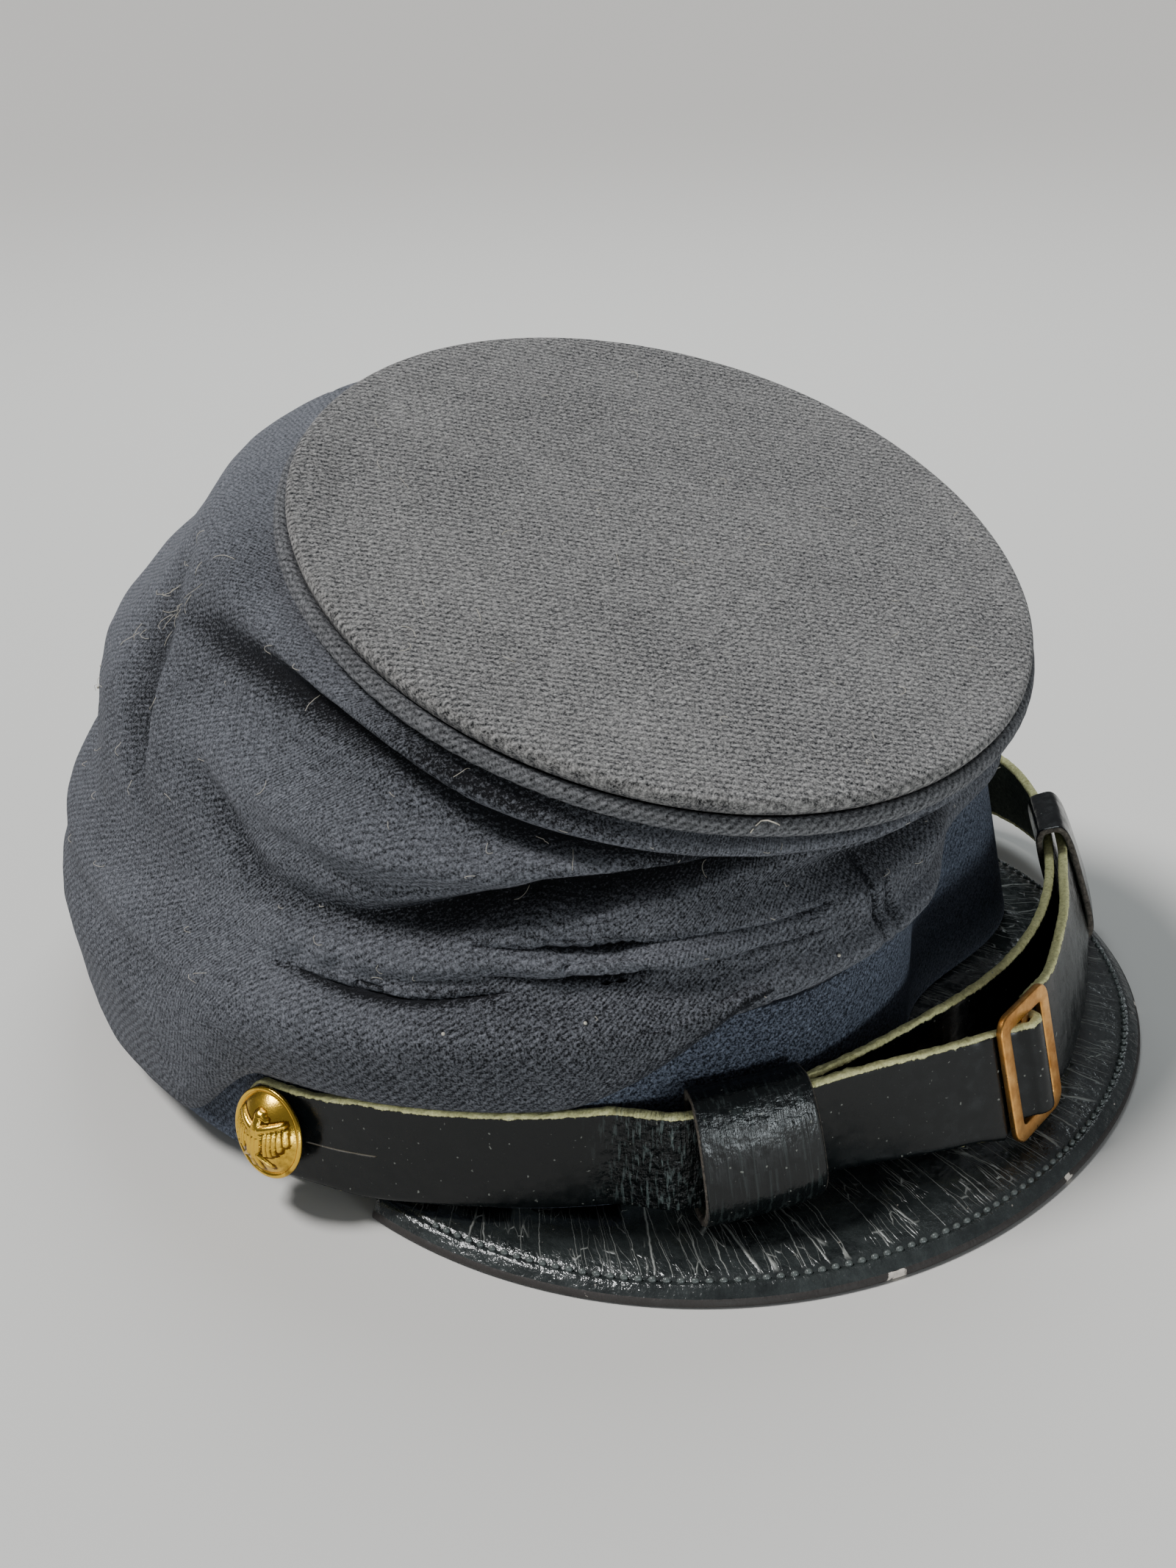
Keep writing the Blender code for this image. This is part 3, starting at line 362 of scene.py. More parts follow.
# Folds, each a line of angle, share of the way up, half width as such a share, and mm out.
FOLDS = {
    "lower_roll": (
        (-62, 0.15, 0.14, 0), (-40, 0.15, 0.14, 1.8), (20, 0.14, 0.14, 2.0), (50, 0.14, 0.14, 0),
    ),
    "low_bulge": (
        (118, 0.16, 0.10, 0), (92, 0.12, 0.12, 1.8), (76, 0.09, 0.12, 2.0), (58, 0.09, 0.12, 1.0),
        (44, 0.10, 0.12, 0),
    ),
    "seam_pucker": (
        (82, 0.185, 0.018, 0), (77, 0.17, 0.022, -1.2), (71, 0.155, 0.024, -2.2),
        (64, 0.155, 0.024, -2.6), (59, 0.18, 0.024, -2.4), (55, 0.21, 0.020, 0),
    ),
    "low_lobe": (
        (102, 0.27, 0.10, 0), (88, 0.26, 0.11, 1.2), (76, 0.27, 0.10, 1.9), (66, 0.29, 0.09, 1.7),
        (58, 0.33, 0.06, 0.8), (50, 0.33, 0.05, 0),
    ),
    "front_crease": (
        (59, 0.27, 0.020, 0), (55, 0.266, 0.022, -3.4), (49, 0.268, 0.025, -5.2), (43, 0.30, 0.027, -5.4),
        (37, 0.34, 0.028, -4.0), (30, 0.36, 0.030, -2.0), (20, 0.36, 0.03, 0),
    ),
    "front_roll": (
        (60, 0.34, 0.04, 0), (50, 0.34, 0.045, 1.6), (40, 0.39, 0.05, 2.4), (28, 0.42, 0.05, 0),
    ),
    "upper_crease": (
        (62, 0.385, 0.018, 0), (57, 0.393, 0.022, -3.6), (50, 0.408, 0.025, -5.2),
        (44, 0.44, 0.027, -5.6), (38, 0.47, 0.028, -5.0), (30, 0.49, 0.03, -2.6), (20, 0.51, 0.03, 0),
    ),
    "deep_fold": (
        (106, 0.68, 0.08, 0), (98, 0.59, 0.09, -1.2), (91, 0.47, 0.10, -2.0), (85, 0.40, 0.11, -2.2),
        (78, 0.385, 0.12, -3.0), (71, 0.42, 0.13, -5.8), (65, 0.49, 0.14, -8.4), (59, 0.58, 0.15, -9.2),
        (52, 0.67, 0.13, -8.4), (45, 0.74, 0.11, -6.4), (37, 0.82, 0.09, -4.0), (26, 0.86, 0.07, 0),
    ),
    "upper_lobe": (
        (110, 0.72, 0.12, 0), (98, 0.71, 0.14, 2.2), (86, 0.68, 0.14, 3.2), (74, 0.67, 0.13, 3.8),
        (66, 0.70, 0.10, 3.4), (58, 0.76, 0.07, 1.8), (50, 0.79, 0.05, 0),
    ),
    "under_top": (
        (124, 0.83, 0.05, 0), (112, 0.87, 0.055, -2.0), (98, 0.90, 0.055, -3.6), (87, 0.91, 0.06, -4.6),
        (76, 0.885, 0.065, -5.0), (66, 0.84, 0.07, -5.4), (54, 0.845, 0.07, -5.4),
        (42, 0.87, 0.065, -4.2), (28, 0.89, 0.06, -2.6), (14, 0.89, 0.05, 0),
    ),
    "top_ledge": (
        (116, 0.96, 0.045, 0), (96, 0.97, 0.05, 1.8), (66, 0.945, 0.055, 2.6), (30, 0.95, 0.05, 2.0),
        (-30, 0.95, 0.05, 0),
    ),
    "side_pleat": (
        (136, 0.88, 0.09, 0), (128, 0.80, 0.11, -2.2), (121, 0.72, 0.12, -3.2), (116, 0.64, 0.12, -3.2),
        (112, 0.55, 0.12, -2.6), (108, 0.45, 0.11, -1.2), (102, 0.36, 0.09, 0),
    ),
    "rear_pleat": (
        (172, 0.80, 0.10, 0), (158, 0.66, 0.12, -2.4), (146, 0.52, 0.12, -2.0), (134, 0.42, 0.10, 0),
    ),
    "front_tuck": (
        (42, 0.74, 0.20, 0), (20, 0.70, 0.22, -5.0), (-25, 0.66, 0.24, -6.0), (-75, 0.66, 0.22, -5.0),
        (-97, 0.66, 0.20, 0),
    ),
    "left_bulge": (
        (-85, 0.42, 0.16, 0), (-106, 0.44, 0.16, 3.0), (-130, 0.46, 0.16, 3.0), (-152, 0.50, 0.16, 0),
    ),
    "left_fold": (
        (-70, 0.78, 0.10, 0), (-90, 0.79, 0.10, -3.5), (-130, 0.78, 0.10, -3.5), (-150, 0.74, 0.10, 0),
    ),
    "left_tuck": (
        (-45, 0.84, 0.16, 0), (-65, 0.84, 0.16, -3.0), (-95, 0.84, 0.16, -3.0), (-116, 0.84, 0.16, 0),
    ),
}
# Upright creases, each a line of share of the way up, angle, half width in degrees, and mm out.
CREASES = {
    "front_seam": (
        (0.0, 11.5, 1.0, -1.3), (0.34, 13.5, 1.1, -1.3), (0.58, 15.5, 1.0, -1.0), (0.75, 16, 1.0, 0),
    ),
    "front_seam_twin": (
        (0.0, 9.4, 0.9, 0), (0.1, 9.6, 1.0, -0.9), (0.34, 11.0, 1.1, -1.3), (0.62, 12.5, 1.0, 0),
    ),
    "front_hollow": (
        (0.2, 4, 8.0, 0), (0.5, 5, 9.0, -1.6), (0.75, 8, 8.0, -1.2), (0.9, 10, 6.0, 0),
    ),
    "rib_left": (
        (0.18, 79.5, 1.8, 0), (0.25, 79, 2.0, -0.8), (0.32, 80, 1.8, 0),
    ),
    "rib_right": (
        (0.19, 74.5, 1.8, 0), (0.26, 74.5, 2.0, -0.8), (0.33, 75.5, 1.8, 0),
    ),
    "rear_seam": (
        (0.0, 176, 1.2, -1.0), (1.0, 176, 1.2, -1.0),
    ),
}

top_out = np.array((math.sin(TOP_SIDE_TILT), -math.sin(TOP_FORWARD_TILT),
                    math.cos(TOP_FORWARD_TILT) * math.cos(TOP_SIDE_TILT)))
top_out /= np.linalg.norm(top_out)
top_left = np.cross((0, 1, 0), top_out)
top_left /= np.linalg.norm(top_left)
top_back = np.cross(top_out, top_left)


def top_rim(angle, reach, drop):
    """Points round the top's middle, at a reach from it and a drop below its face."""
    turn = np.radians(angle)
    round_it = np.sin(turn)[..., None] * -top_left + np.cos(turn)[..., None] * -top_back
    middle = TOP_MIDDLE - np.multiply.outer(drop + 0 * angle, top_out)
    return middle + (reach + 0 * turn)[..., None] * round_it


def fold_offset(angle, share):
    """How far the folds move the wall outward, and how shut in the cloth is there, 0 on a smooth wall."""
    angle, share = np.broadcast_arrays(angle, share)
    total = np.zeros(angle.shape)
    shut = np.zeros(angle.shape)
    runs = [(rows, angle, share, FOLD_TIGHT) for rows in FOLDS.values()]
    runs += [(rows, share, angle, CREASE_TIGHT) for rows in CREASES.values()]
    for rows, along, across, tight in runs:
        rows = np.array(sorted(rows), float)
        at = np.clip(along, rows[0, 0], rows[-1, 0])
        line, half_width, out = np.moveaxis(smooth_through(rows[:, 0], rows[:, 1:], at), -1, 0)
        moved = out * bump(across - line, half_width)
        total += moved
        shut += moved * tight / half_width
    return total, shut


def bag_at(angle):
    """How fully the crown bags out over the band: 0 round the front, 1 at the sides and back."""
    return np.where(angle > 0, ramp(angle, 22, 50), ramp(-angle, 88, 132))


def wall_point(angle, level):
    """The wall's middle surface at a share of its way up."""
    foot = band_point(angle, 0.0, BAND_HEIGHT + 0 * angle)
    top = top_rim(angle, *WALL_TOP)
    places, outs, climbs = zip(*BACK_PROFILE)
    back = np.where(angle > 0, ramp(angle, 55, 130), ramp(-angle, 80, 140))
    out = (1 - back) * (1 - level) + back * smooth_through(places, outs, level)
    climb = (1 - back) * level + back * smooth_through(places, climbs, level)
    points = top + (foot - top) * np.stack([out, out, 1 - climb], -1)
    turn = np.radians(angle)
    outward = np.stack([-np.sin(turn), -np.cos(turn), 0 * turn], -1)
    bag = bag_at(angle) * (1 - back) * BAG_OUT * bump(level, BAG_SHARE)
    return points + outward * (bag + fold_offset(angle, level)[0])[..., None]


def foot_point(angle, row):
    """One row of the wall's foot."""
    bagged_out, bagged_up, plain_out, plain_up, share_of_drop, fullness = row
    bag = bag_at(angle)
    clear = np.clip(bag / 0.2, 0.0, 1.0)  # it stands clear of the band before it drops
    drop = np.clip((bag - 0.2) / 0.8, 0.0, 1.0)
    full = clear + (bag - clear) * fullness
    out = full * bagged_out + (1 - full) * plain_out
    up = drop * bagged_up + (1 - drop) * plain_up
    up = up - share_of_drop * BAG_FURTHER_DROP * drop * ramp(np.abs(angle), 80, 96)
    return band_point(angle, out, BAND_HEIGHT + up)


wall_cloth = broadcloth("crown_broadcloth", "09090C", "84868D", twill=0.6)
# The columns are closest at the wearer's right, where the folds are small.
columns = [np.linspace(-180, 10, 128)[:-1], np.linspace(10, 130, 161), np.linspace(130, 180, 35)[1:]]
angle = np.concatenate(columns)
foot_rows = [foot_point(angle, row) for row in WALL_FOOT]
foot_rows += [wall_point(angle, WALL_START + step + 0 * angle) for step in (0.0, 0.03)]
points = smooth_through(np.arange(len(foot_rows)), foot_rows, np.linspace(0, len(WALL_FOOT), FOOT_STEPS))
levels = WALL_START + (1 - WALL_START) * np.linspace(0, 1, 111)[1:, None]
points = np.concatenate([points, wall_point(angle[None, :] + 0 * levels, levels + 0 * angle)])
tucked = [top_rim(angle, *row) for row in WALL_TUCKED]
points = np.concatenate([points, tucked])
levels = np.concatenate([np.zeros(FOOT_STEPS), levels[:, 0], np.ones(len(tucked))])[:, None] + 0 * angle
hollow = fold_offset(angle[None, :], levels)[1] * (levels > 0)
soft = bump(levels - 0.5, 0.5) + 0.3
uneven = rough(points, 17.0, 0.9) + rough(points, 6.0, 0.35, 40.0)
points[:, :-1] += (outward_of(points) * (uneven * soft)[..., None])[:, :-1]
points[:, -1] = points[:, 0]
way = np.cumsum(np.linalg.norm(np.diff(points, axis=0, prepend=points[:1]), axis=-1), axis=0)
pattern = np.stack([(angle * WALL_PER_DEGREE)[None, :] + 0 * way, way], -1)
shaded = np.clip(0.36 * hollow, -0.85, 0.07)  # painted shade in the folds and a little painted light on their ridges
shaded -= 0.48 * bump(angle - 71, 27) * ramp(levels, 0.93, 0.955)  # painted shade under the top's edge at the right
shaded -= 0.15 * bump(angle - 48, 34) * ramp(-levels, -0.34, -0.12)  # painted shade low down at the front right
shaded += 0.18 * ramp(np.abs(angle), 116, 150) * ramp(levels, 0.3, 0.7)  # painted light at the back
shaded -= 0.5 * (levels == 1.0)  # in the top's seam, and next in the band's where it doesn't bag
shaded -= 0.5 * (1 - bag_at(angle)) * (np.arange(len(levels))[:, None] < SEAM_STEPS)
shape = grid_of(points, pattern, worn=shaded)
wall = settle(shape, "crown_wall_cloth", wall_cloth, "wool_broadcloth", "crown_wall")
cloth = wall.modifiers.new("cloth", "SOLIDIFY")
cloth.thickness = WALL_CLOTH * MM
cloth.offset = 0

# ------------------------------------------------------------------------------------------------
# Crown top. A stiff disc 134 mm across, the same broadcloth stretched over a board and turned over
# its edge. It has had the most light and handling, so its cloth is greyer and its ribs show.

TOP_RADIUS = 66.8
TOP_THICK = 3.0
TOP_EDGE = 1.4  # radius of the cloth's turn over the board's edge


def top_matrix(drop):
    """From a piece's own axes, in mm, to its place on the tilted top, in metres."""
    turn = Matrix([Vector(axis) for axis in (top_left, top_back, top_out)]).transposed().to_4x4()
    middle = Vector((TOP_MIDDLE - top_out * drop + BAND_MIDDLE) * MM)
    return Matrix.Translation(middle) @ turn @ Matrix.Scale(MM, 4)


def in_order(shape):
    """Puts a bmesh's parts in their order along a slanted line, because merging leaves them in any order."""
    slant = Vector((1.0, 3.7, 11.3))
    shape.verts.sort(key=lambda vert: vert.co.dot(slant))
    shape.edges.sort(key=lambda edge: (edge.verts[0].co + edge.verts[1].co).dot(slant))
    shape.faces.sort(key=lambda face: face.calc_center_median().dot(slant))
    return shape


def spun(profile, steps):
    """A bmesh turned about Z from a profile of radius and height."""
    shape = bmesh.new()
    points = [shape.verts.new((radius, 0, height)) for radius, height in profile]
    edges = [shape.edges.new(pair) for pair in zip(points, points[1:])]
    bmesh.ops.spin(
        shape, geom=points + edges, cent=(0, 0, 0), axis=(0, 0, 1), dvec=(0, 0, 0),
        angle=2 * math.pi, steps=steps, use_merge=True,
    )
    bmesh.ops.remove_doubles(shape, verts=shape.verts, dist=0.001)
    return in_order(shape)


def flat_pattern(shape):
    """A UV map in mm as if the weave were laid flat over the piece's own X and Y."""
    layer = shape.loops.layers.uv.new("UVMap")
    for face in shape.faces:
        for loop in face.loops:
            loop[layer].uv = loop.vert.co.xy


top_cloth = broadcloth("top_broadcloth", "141416", "B6B3B0", twill=0.8)
inner = TOP_RADIUS - TOP_EDGE
profile = [(radius, 0.0) for radius in np.linspace(0, inner - 0.4, 42)]
profile += [
    (inner + TOP_EDGE * math.sin(turn), TOP_EDGE * (math.cos(turn) - 1))
    for turn in np.radians(np.linspace(0, 90, 8))
]
profile += [(TOP_RADIUS - 0.5, -TOP_THICK), (TOP_RADIUS - 4, -TOP_THICK), (0, -TOP_THICK)]
shape = spun(profile, 240)
flat_pattern(shape)
for vert in shape.verts:
    reach = vert.co.xy.length
    if vert.co.z > -TOP_THICK / 2:
        swell = 0.35 * noise.noise(vert.co / 34.0) + 0.12 * noise.noise(vert.co / 9.0)
        vert.co.z += swell * min(1.0, (TOP_RADIUS - reach) / 6 + 0.3)
        vert.co.z += 0.22 * float(bump(reach - 62.6, 3.0)) - 0.12 * float(bump(reach - 58.0, 3.0))
shape.transform(top_matrix(0))
settle(shape, "crown_top_cloth", top_cloth, "wool_broadcloth", "crown_top")

# ------------------------------------------------------------------------------------------------
# Welt. A cord covered with a bias strip of the cloth and sewn between top and wall. It is a little
# uneven, and the stitches behind it pinch it every 4 mm.

WELT_REACH = 66.9
WELT_DROP = 4.9
WELT_RADIUS = 1.6
WELT_STITCHES = 104
WELT_PER_DEGREE = 1.17  # mm of the cord for a degree round the top

welt_cloth = broadcloth("welt_broadcloth", "0A0A0D", "8A8A8C", twill=0.9)
turn = np.radians(np.linspace(0, 360, 19))[:, None]
angle = np.linspace(-180, 180, 481)[None, :]
radius = WELT_RADIUS * (1 + 0.05 * np.sin(np.radians(angle * 7)) * np.sin(np.radians(angle * 3 + 40)))
stitched = 0.5 + 0.5 * np.cos(np.radians(angle) * WELT_STITCHES)
pinch = 0.10 * stitched * np.clip(np.sin(turn + 2.6), 0, 1)
reach = WELT_REACH + (radius - pinch) * np.cos(turn)
points = top_rim(angle + 0 * turn, reach, WELT_DROP - (radius - pinch) * np.sin(turn))
pattern = np.stack([angle * WELT_PER_DEGREE + 0 * turn, turn * WELT_RADIUS + 0 * angle], -1)
shape = grid_of(points, pattern, worn=0.06 - 0.5 * bump(turn - 2.9, 1.3))  # painted shade in the seam behind
settle(shape, "crown_welt_cloth", welt_cloth, "wool_broadcloth", "crown_welt")

# ------------------------------------------------------------------------------------------------
# Peak. A crescent of black patent leather, sewn under the band and resting on its front edge. Its
# lacquer has cracked outward from the strap to the stitch row, 3 mm inside the raw brown edge.

PEAK_HALF_WIDTH = 84.3
PEAK_CORNER_Y = -32.5
PEAK_REACH = 83.5
PEAK_SQUARENESS = 2.1
PEAK_THICK = 2.3
PEAK_BAND_ANGLE = 69
PEAK_TUCK = 2.0  # how far it reaches in under the band's face
PEAK_BELOW_RIM = 0.35
PEAK_DISH = 0.9
PEAK_DIP = 0.42
STITCH_INSET = 3.1
STITCH_PITCH = 2.25
STITCH_START = 8  # from the peak's corners
EDGE_ROUND = 0.5
EDGE_DROP = 0.9  # of the worn upper face at the edge
UNEVEN_ROWS = 26  # of the section, from the band out to the edge's rounding
# Where the edge's lacquer is chipped, as mm along it and half width, and the three sizes of its cracks,
# as cells to a mm, how drawn out they are, and how wide for their cells.
PEAK_CHIPS = ((175.5, 2.8), (137.3, 1.8), (81.4, 1.4))
PEAK_CRACKS = ((0.19, 0.05, 0.019), (0.36, 0.07, 0.032), (0.60, 0.17, 0.030))


def peak_edge(share):
    """The peak's outer edge, from its left corner at -1 to its right corner at 1, in mm."""
    turn = np.radians(90 * share)
    square = 2.0 / PEAK_SQUARENESS
    across = -np.sign(share) * np.abs(np.sin(turn)) ** square
    along = np.maximum(np.cos(turn), 0.0) ** square
    return np.stack([PEAK_HALF_WIDTH * across, PEAK_CORNER_Y - PEAK_REACH * along], -1)


def peak_point(share, across, drop=0.0):
    """A point of the peak at a share along its edge and a share of the way out to it."""
    angle = PEAK_BAND_ANGLE * share
    seam = band_outline(angle, -PEAK_TUCK)
    inner_z = rim_lift(band_outline(angle, 0.0)[..., 1]) - PEAK_BELOW_RIM
    plan = seam + (peak_edge(share) - seam) * across[..., None]
    z = inner_z + (PEAK_THICK - inner_z) * across
    z += PEAK_DISH * np.sin(np.pi * across) * across
    z -= PEAK_DIP * (inner_z - PEAK_THICK) * bump(across - 0.2, 0.25)
    return np.concatenate([plan, (z - drop)[..., None]], -1)


def patent(name):
    """Patent leather: linseed lacquer on cowhide, mirror black, crazed where it has flexed.

    The cracks are 0.2 mm wide and show pale dust and leather. The UV map runs along the edge and in from
    it, in mm."""
    made, tree, shader = bare_material(name, Specular_IOR_Level=0.8)
    place = add(tree, "TexCoord").outputs["UV"]
    inset = add(tree, "SeparateXYZ", Vector=place).outputs["Y"]
    body = add(tree, "TexCoord").outputs["Object"]
    wander = add(tree, "TexNoise", {"Scale": 0.16, "Detail": 3.0, "Roughness": 0.6}, Vector=place)
    drift = {"operation": "MULTIPLY_ADD", 1: (1.5, 5.0, 0.0)}
    shifted = add(tree, "VectorMath", drift, i0=wander.outputs["Color"], i2=place)
    masks = []
    for scale, stretch, width in PEAK_CRACKS:
        drawn = add(tree, "Mapping", {"Scale": (1.0, stretch, 1.0)}, Vector=shifted)
        cell = {"feature": "DISTANCE_TO_EDGE", "voronoi_dimensions": "2D", "Scale": scale}
        cells = add(tree, "TexVoronoi", cell, Vector=drawn)
        masks.append(add(tree, "MapRange", {"From Min": width, "From Max": 0.0}, Value=cells))
    broken = add(tree, "TexNoise", {"Scale": 0.12, "Detail": 4.0}, Vector=place)
    present = add(tree, "MapRange", {"From Min": 0.47, "From Max": 0.60}, Value=broken)
    fine = add(tree, "Math", {"operation": "MAXIMUM"}, i0=masks[1], i1=masks[2])
    fine = add(tree, "Math", {"operation": "MULTIPLY"}, i0=fine, i1=present)
    cracks = add(tree, "Math", {"operation": "MAXIMUM"}, i0=masks[0], i1=fine)
    inside = add(tree, "MapRange", {"From Min": 3.6, "From Max": 5.5}, Value=inset)
    cracks = add(tree, "Math", {"operation": "MULTIPLY"}, i0=cracks, i1=inside)
    raw = add(tree, "Attribute", {"attribute_name": "raw"})
    nicks = add(tree, "TexNoise", {"Scale": 700.0, "Detail": 3.0}, Vector=body)
    edge = add(tree, "Math", {"operation": "MULTIPLY_ADD", 1: 0.7, 2: -0.35}, i0=nicks)
    edge = add(tree, "Math", {"operation": "ADD"}, i0=raw, i1=edge)
    edge = add(tree, "MapRange", {"From Min": 0.45, "From Max": 0.6}, Value=edge)
    dust = add(tree, "TexNoise", {"Scale": 120.0, "Detail": 8.0, "Roughness": 0.8}, Vector=body)
    dust_and_painted_sheen = add(tree, "MapRange", {"From Min": 0.25, "From Max": 0.85}, Value=dust)
    chipped = add(tree, "Attribute", {"attribute_name": "chipped"})
    chip = add(tree, "Math", {"operation": "MULTIPLY_ADD", 1: 2.0, 2: -0.5}, i0=nicks)
    chip = add(tree, "Math", {"operation": "ADD"}, i0=chip, i1=chipped)
    chip = add(tree, "MapRange", {"From Min": 0.95, "From Max": 1.1}, Value=chip)
    # Dusty grey patches on the black lacquer, made paler as a painted sheen
    colour = add(tree, "Mix", {"data_type": "RGBA", 6: linear("0F1112"), 7: linear("3F4544")}, Factor=dust_and_painted_sheen)
    for bared, code in ((cracks, "A6A8A2"), (edge, "1F1814"), (chip, "C9BFB4")):
        colour = add(tree, "Mix", {"data_type": "RGBA", 7: linear(code)}, Factor=bared, i6=colour)
    sheen = {"From Min": 0.3, "From Max": 0.75, "To Min": 0.14, "To Max": 0.38}
    gloss = add(tree, "MapRange", sheen, Value=dust)
    dull = add(tree, "Math", {"operation": "MAXIMUM"}, i0=cracks, i1=edge)
    gloss = add(tree, "Math", {"operation": "MULTIPLY_ADD", 1: 0.5}, i0=dull, i2=gloss)
    waves = add(tree, "TexNoise", {"Scale": 0.14, "Detail": 3.0, "Roughness": 0.55}, Vector=place)
    crinkle = add(tree, "TexNoise", {"Scale": 0.75, "Detail": 3.0, "Roughness": 0.6}, Vector=place)
    by_edge = {"From Min": 11.0, "From Max": 2.0, "To Min": 0.10, "To Max": 0.60}
    near_edge = add(tree, "MapRange", by_edge, Value=inset)
    crinkled = add(tree, "Math", {"operation": "MULTIPLY"}, i0=crinkle, i1=near_edge)
    height = add(tree, "Math", {"operation": "MULTIPLY_ADD", 1: 0.30}, i0=cracks, i2=waves)
    height = add(tree, "Math", {"operation": "ADD"}, i0=height, i1=crinkled)
    relief = add(tree, "Bump", {"Strength": 0.7, "Distance": 0.0009}, Height=height)
    link(tree, shader, Base_Color=colour, Roughness=gloss, Normal=relief)
    return made


peak_leather = patent("peak_patent_leather")
share = np.linspace(-1, 1, 301)
edge = peak_edge(share)
sizes = np.linalg.norm(edge - band_outline(PEAK_BAND_ANGLE * share, -PEAK_TUCK), axis=-1)
stations = np.concatenate([[0], np.cumsum(np.linalg.norm(np.diff(edge, axis=0), axis=-1))])
# The section runs out over the upper face, round the edge and back below, in rows of inset from the edge,
# drop and bareness. The insets are close together for the stitch row's groove and the rounded edge.
section = [((1 - level) * (sizes - 20.0) + 20.0, 0.0, 0.0) for level in np.linspace(0.0, 1.0, 14)]
for inset in (14, 9, 6, 4.6, 4.0, 3.6, 3.3, 3.1, 2.9, 2.6, 2.2, 1.6, 1.0, EDGE_ROUND):
    groove = 0.28 * float(bump(inset - STITCH_INSET, 0.75)) + 0.05 * float(bump(inset, 1.6))
    worn_down = EDGE_DROP * ramp(2.4 - inset, 0.0, 2.4)
    section.append((inset + 0 * sizes, groove + worn_down, ramp(0.7 - inset, 0.0, 0.6)))
for turn in np.radians(np.linspace(15, 165, 9)):
    low = EDGE_DROP + (PEAK_THICK - EDGE_DROP) / 2 * (1 - math.cos(turn))
    section.append((EDGE_ROUND * (1 - math.sin(turn)) + 0 * sizes, low, 1.0))
for inset, bare in ((EDGE_ROUND, 0.6), (3.0, 0.0), (8.0, 0.0), (16.0, 0.0)):
    section.append((inset + 0 * sizes, PEAK_THICK, bare))
section.append((sizes, PEAK_THICK, 0.0))
points = np.stack([peak_point(share, 1 - np.clip(inset / np.maximum(sizes, 0.1), 0, 1), drop)
                   for inset, drop, _ in section])
raw = np.array([bare for _, _, bare in section])[:, None] + 0 * share
insets = np.array([inset for inset, _, _ in section])
upper = np.arange(len(section))[:, None] < UNEVEN_ROWS
points[:, :, 2] += np.where(upper, rough(points, 14.0, 0.35), 0)
pattern = np.stack([stations[None, :] + 0 * insets, insets], -1)
chipped = sum(bump(stations - at, half) for at, half in PEAK_CHIPS) * (raw > 0.3)
points, pattern, raw, chipped = (np.concatenate([row, row[:1]]) for row in (points, pattern, raw, chipped))
shape = grid_of(points, pattern, raw=raw, chipped=chipped)
bmesh.ops.holes_fill(shape, edges=[edge for edge in shape.edges if edge.is_boundary], sides=0)
settle(shape, "peak_patent_leather", peak_leather, "patent_leather", "peak")

# Stitches of waxed linen, black with the lacquer that filled them, painted mid-grey as a highlight on each
# bead
thread = bare_material("waxed_thread_painted_highlight", Roughness=0.20, Base_Color=linear("565B59"))[0]
stitch_size = Matrix.Diagonal((0.70 * MM, 0.52 * MM, 0.58 * MM, 1))
count = int((stations[-1] - 2 * STITCH_START) / STITCH_PITCH)
shape = bmesh.new()
for i in range(count):
    along = STITCH_START + (i + 0.5) * STITCH_PITCH
    here = np.interp(along, stations, share)
    size = np.interp(here, share, sizes)
    if size < 9:  # too near the corner
        continue
    near = np.array([here, here + 0.004])
    place, ahead = peak_point(near, 1 - STITCH_INSET / np.interp(near, share, sizes), 0.12)
    ahead = Vector(ahead - place).normalized()
    turn = Matrix((ahead, Vector((0, 0, 1)).cross(ahead), Vector((0, 0, 1)))).transposed().to_4x4()
    spot = Matrix.Translation(Vector((place + BAND_MIDDLE) * MM)) @ turn
    bmesh.ops.create_uvsphere(shape, u_segments=8, v_segments=5, radius=1, matrix=spot @ stitch_size)
settle(in_order(shape), "peak_stitches", thread, "patent_leather")

# ------------------------------------------------------------------------------------------------
# Chin strap. Strips of black finished leather 20 mm wide and 1.8 mm thick, standing on edge just
# above the peak. Their cut edges are raw and furry, and their flesh side is grey-green suede. The
# right strip runs from its button under the near keeper to the buckle and curls round its bar.

STRAP_WIDTH = 20.0
STRAP_THICK = 1.8
GAP = 0.35
LAYER = STRAP_THICK + GAP
HUG = GAP + STRAP_THICK / 2
KEEPER_WALL = 1.3
UNDER_KEEPER = HUG + KEEPER_WALL + GAP
STRAP_ABOVE_RIM = 1.2
STRAP_END = (7.8, 8.4, 1.5)  # radius of a buttoned end, the strip's half width there, and its blunt tip
BUTTON_ANGLE = 79.4
BUTTON_TO_END = 4.7  # degrees from a button to its strip's end
KEEPER_NEAR_ANGLE = 30
# Routes of the strips away from the band, as x, y and how far the lower edge leans out.
OUTER_LAYER = ((-27.4, -92.9, 1.6), (-18.5, -98.4, 3.4), (-12.0, -102.0, 4.6))
INNER_LAYER = (
    (-25.0, -88.6, 0.6),
    (-12.0, -91.4, 1.2),
    (2.0, -93.7, 1.8),
    (16.0, -93.8, 2.6),
    (30.0, -91.3, 3.4),
    (43.5, -86.6, 4.6),
    (55.5, -80.8, 6.2),
    (67.0, -74.1, 7.2),
    (78.4, -65.0, 7.4),
    (87.0, -54.2, 6.4),
    (91.0, -44.2, 5.0),
    (91.0, -34.6, 3.6),
)
TAIL_LAYER = (
    (12.5, -102.6, 4.6),
    (24.0, -98.9, 4.8),
    (36.0, -94.1, 5.2),
    (47.0, -88.4, 5.8),
    (57.0, -83.2, 6.4),
    (65.6, -77.9, 7.2),
)
BUCKLE_WIDTH = 16.5
BUCKLE_HEIGHT = 23.5
BUCKLE_FRAME = 2.9
BUCKLE_THICK = 1.2
BUCKLE_BAR = 1.8
BUCKLE_MIDDLE = np.array((-0.3, -105.2, 17.2))
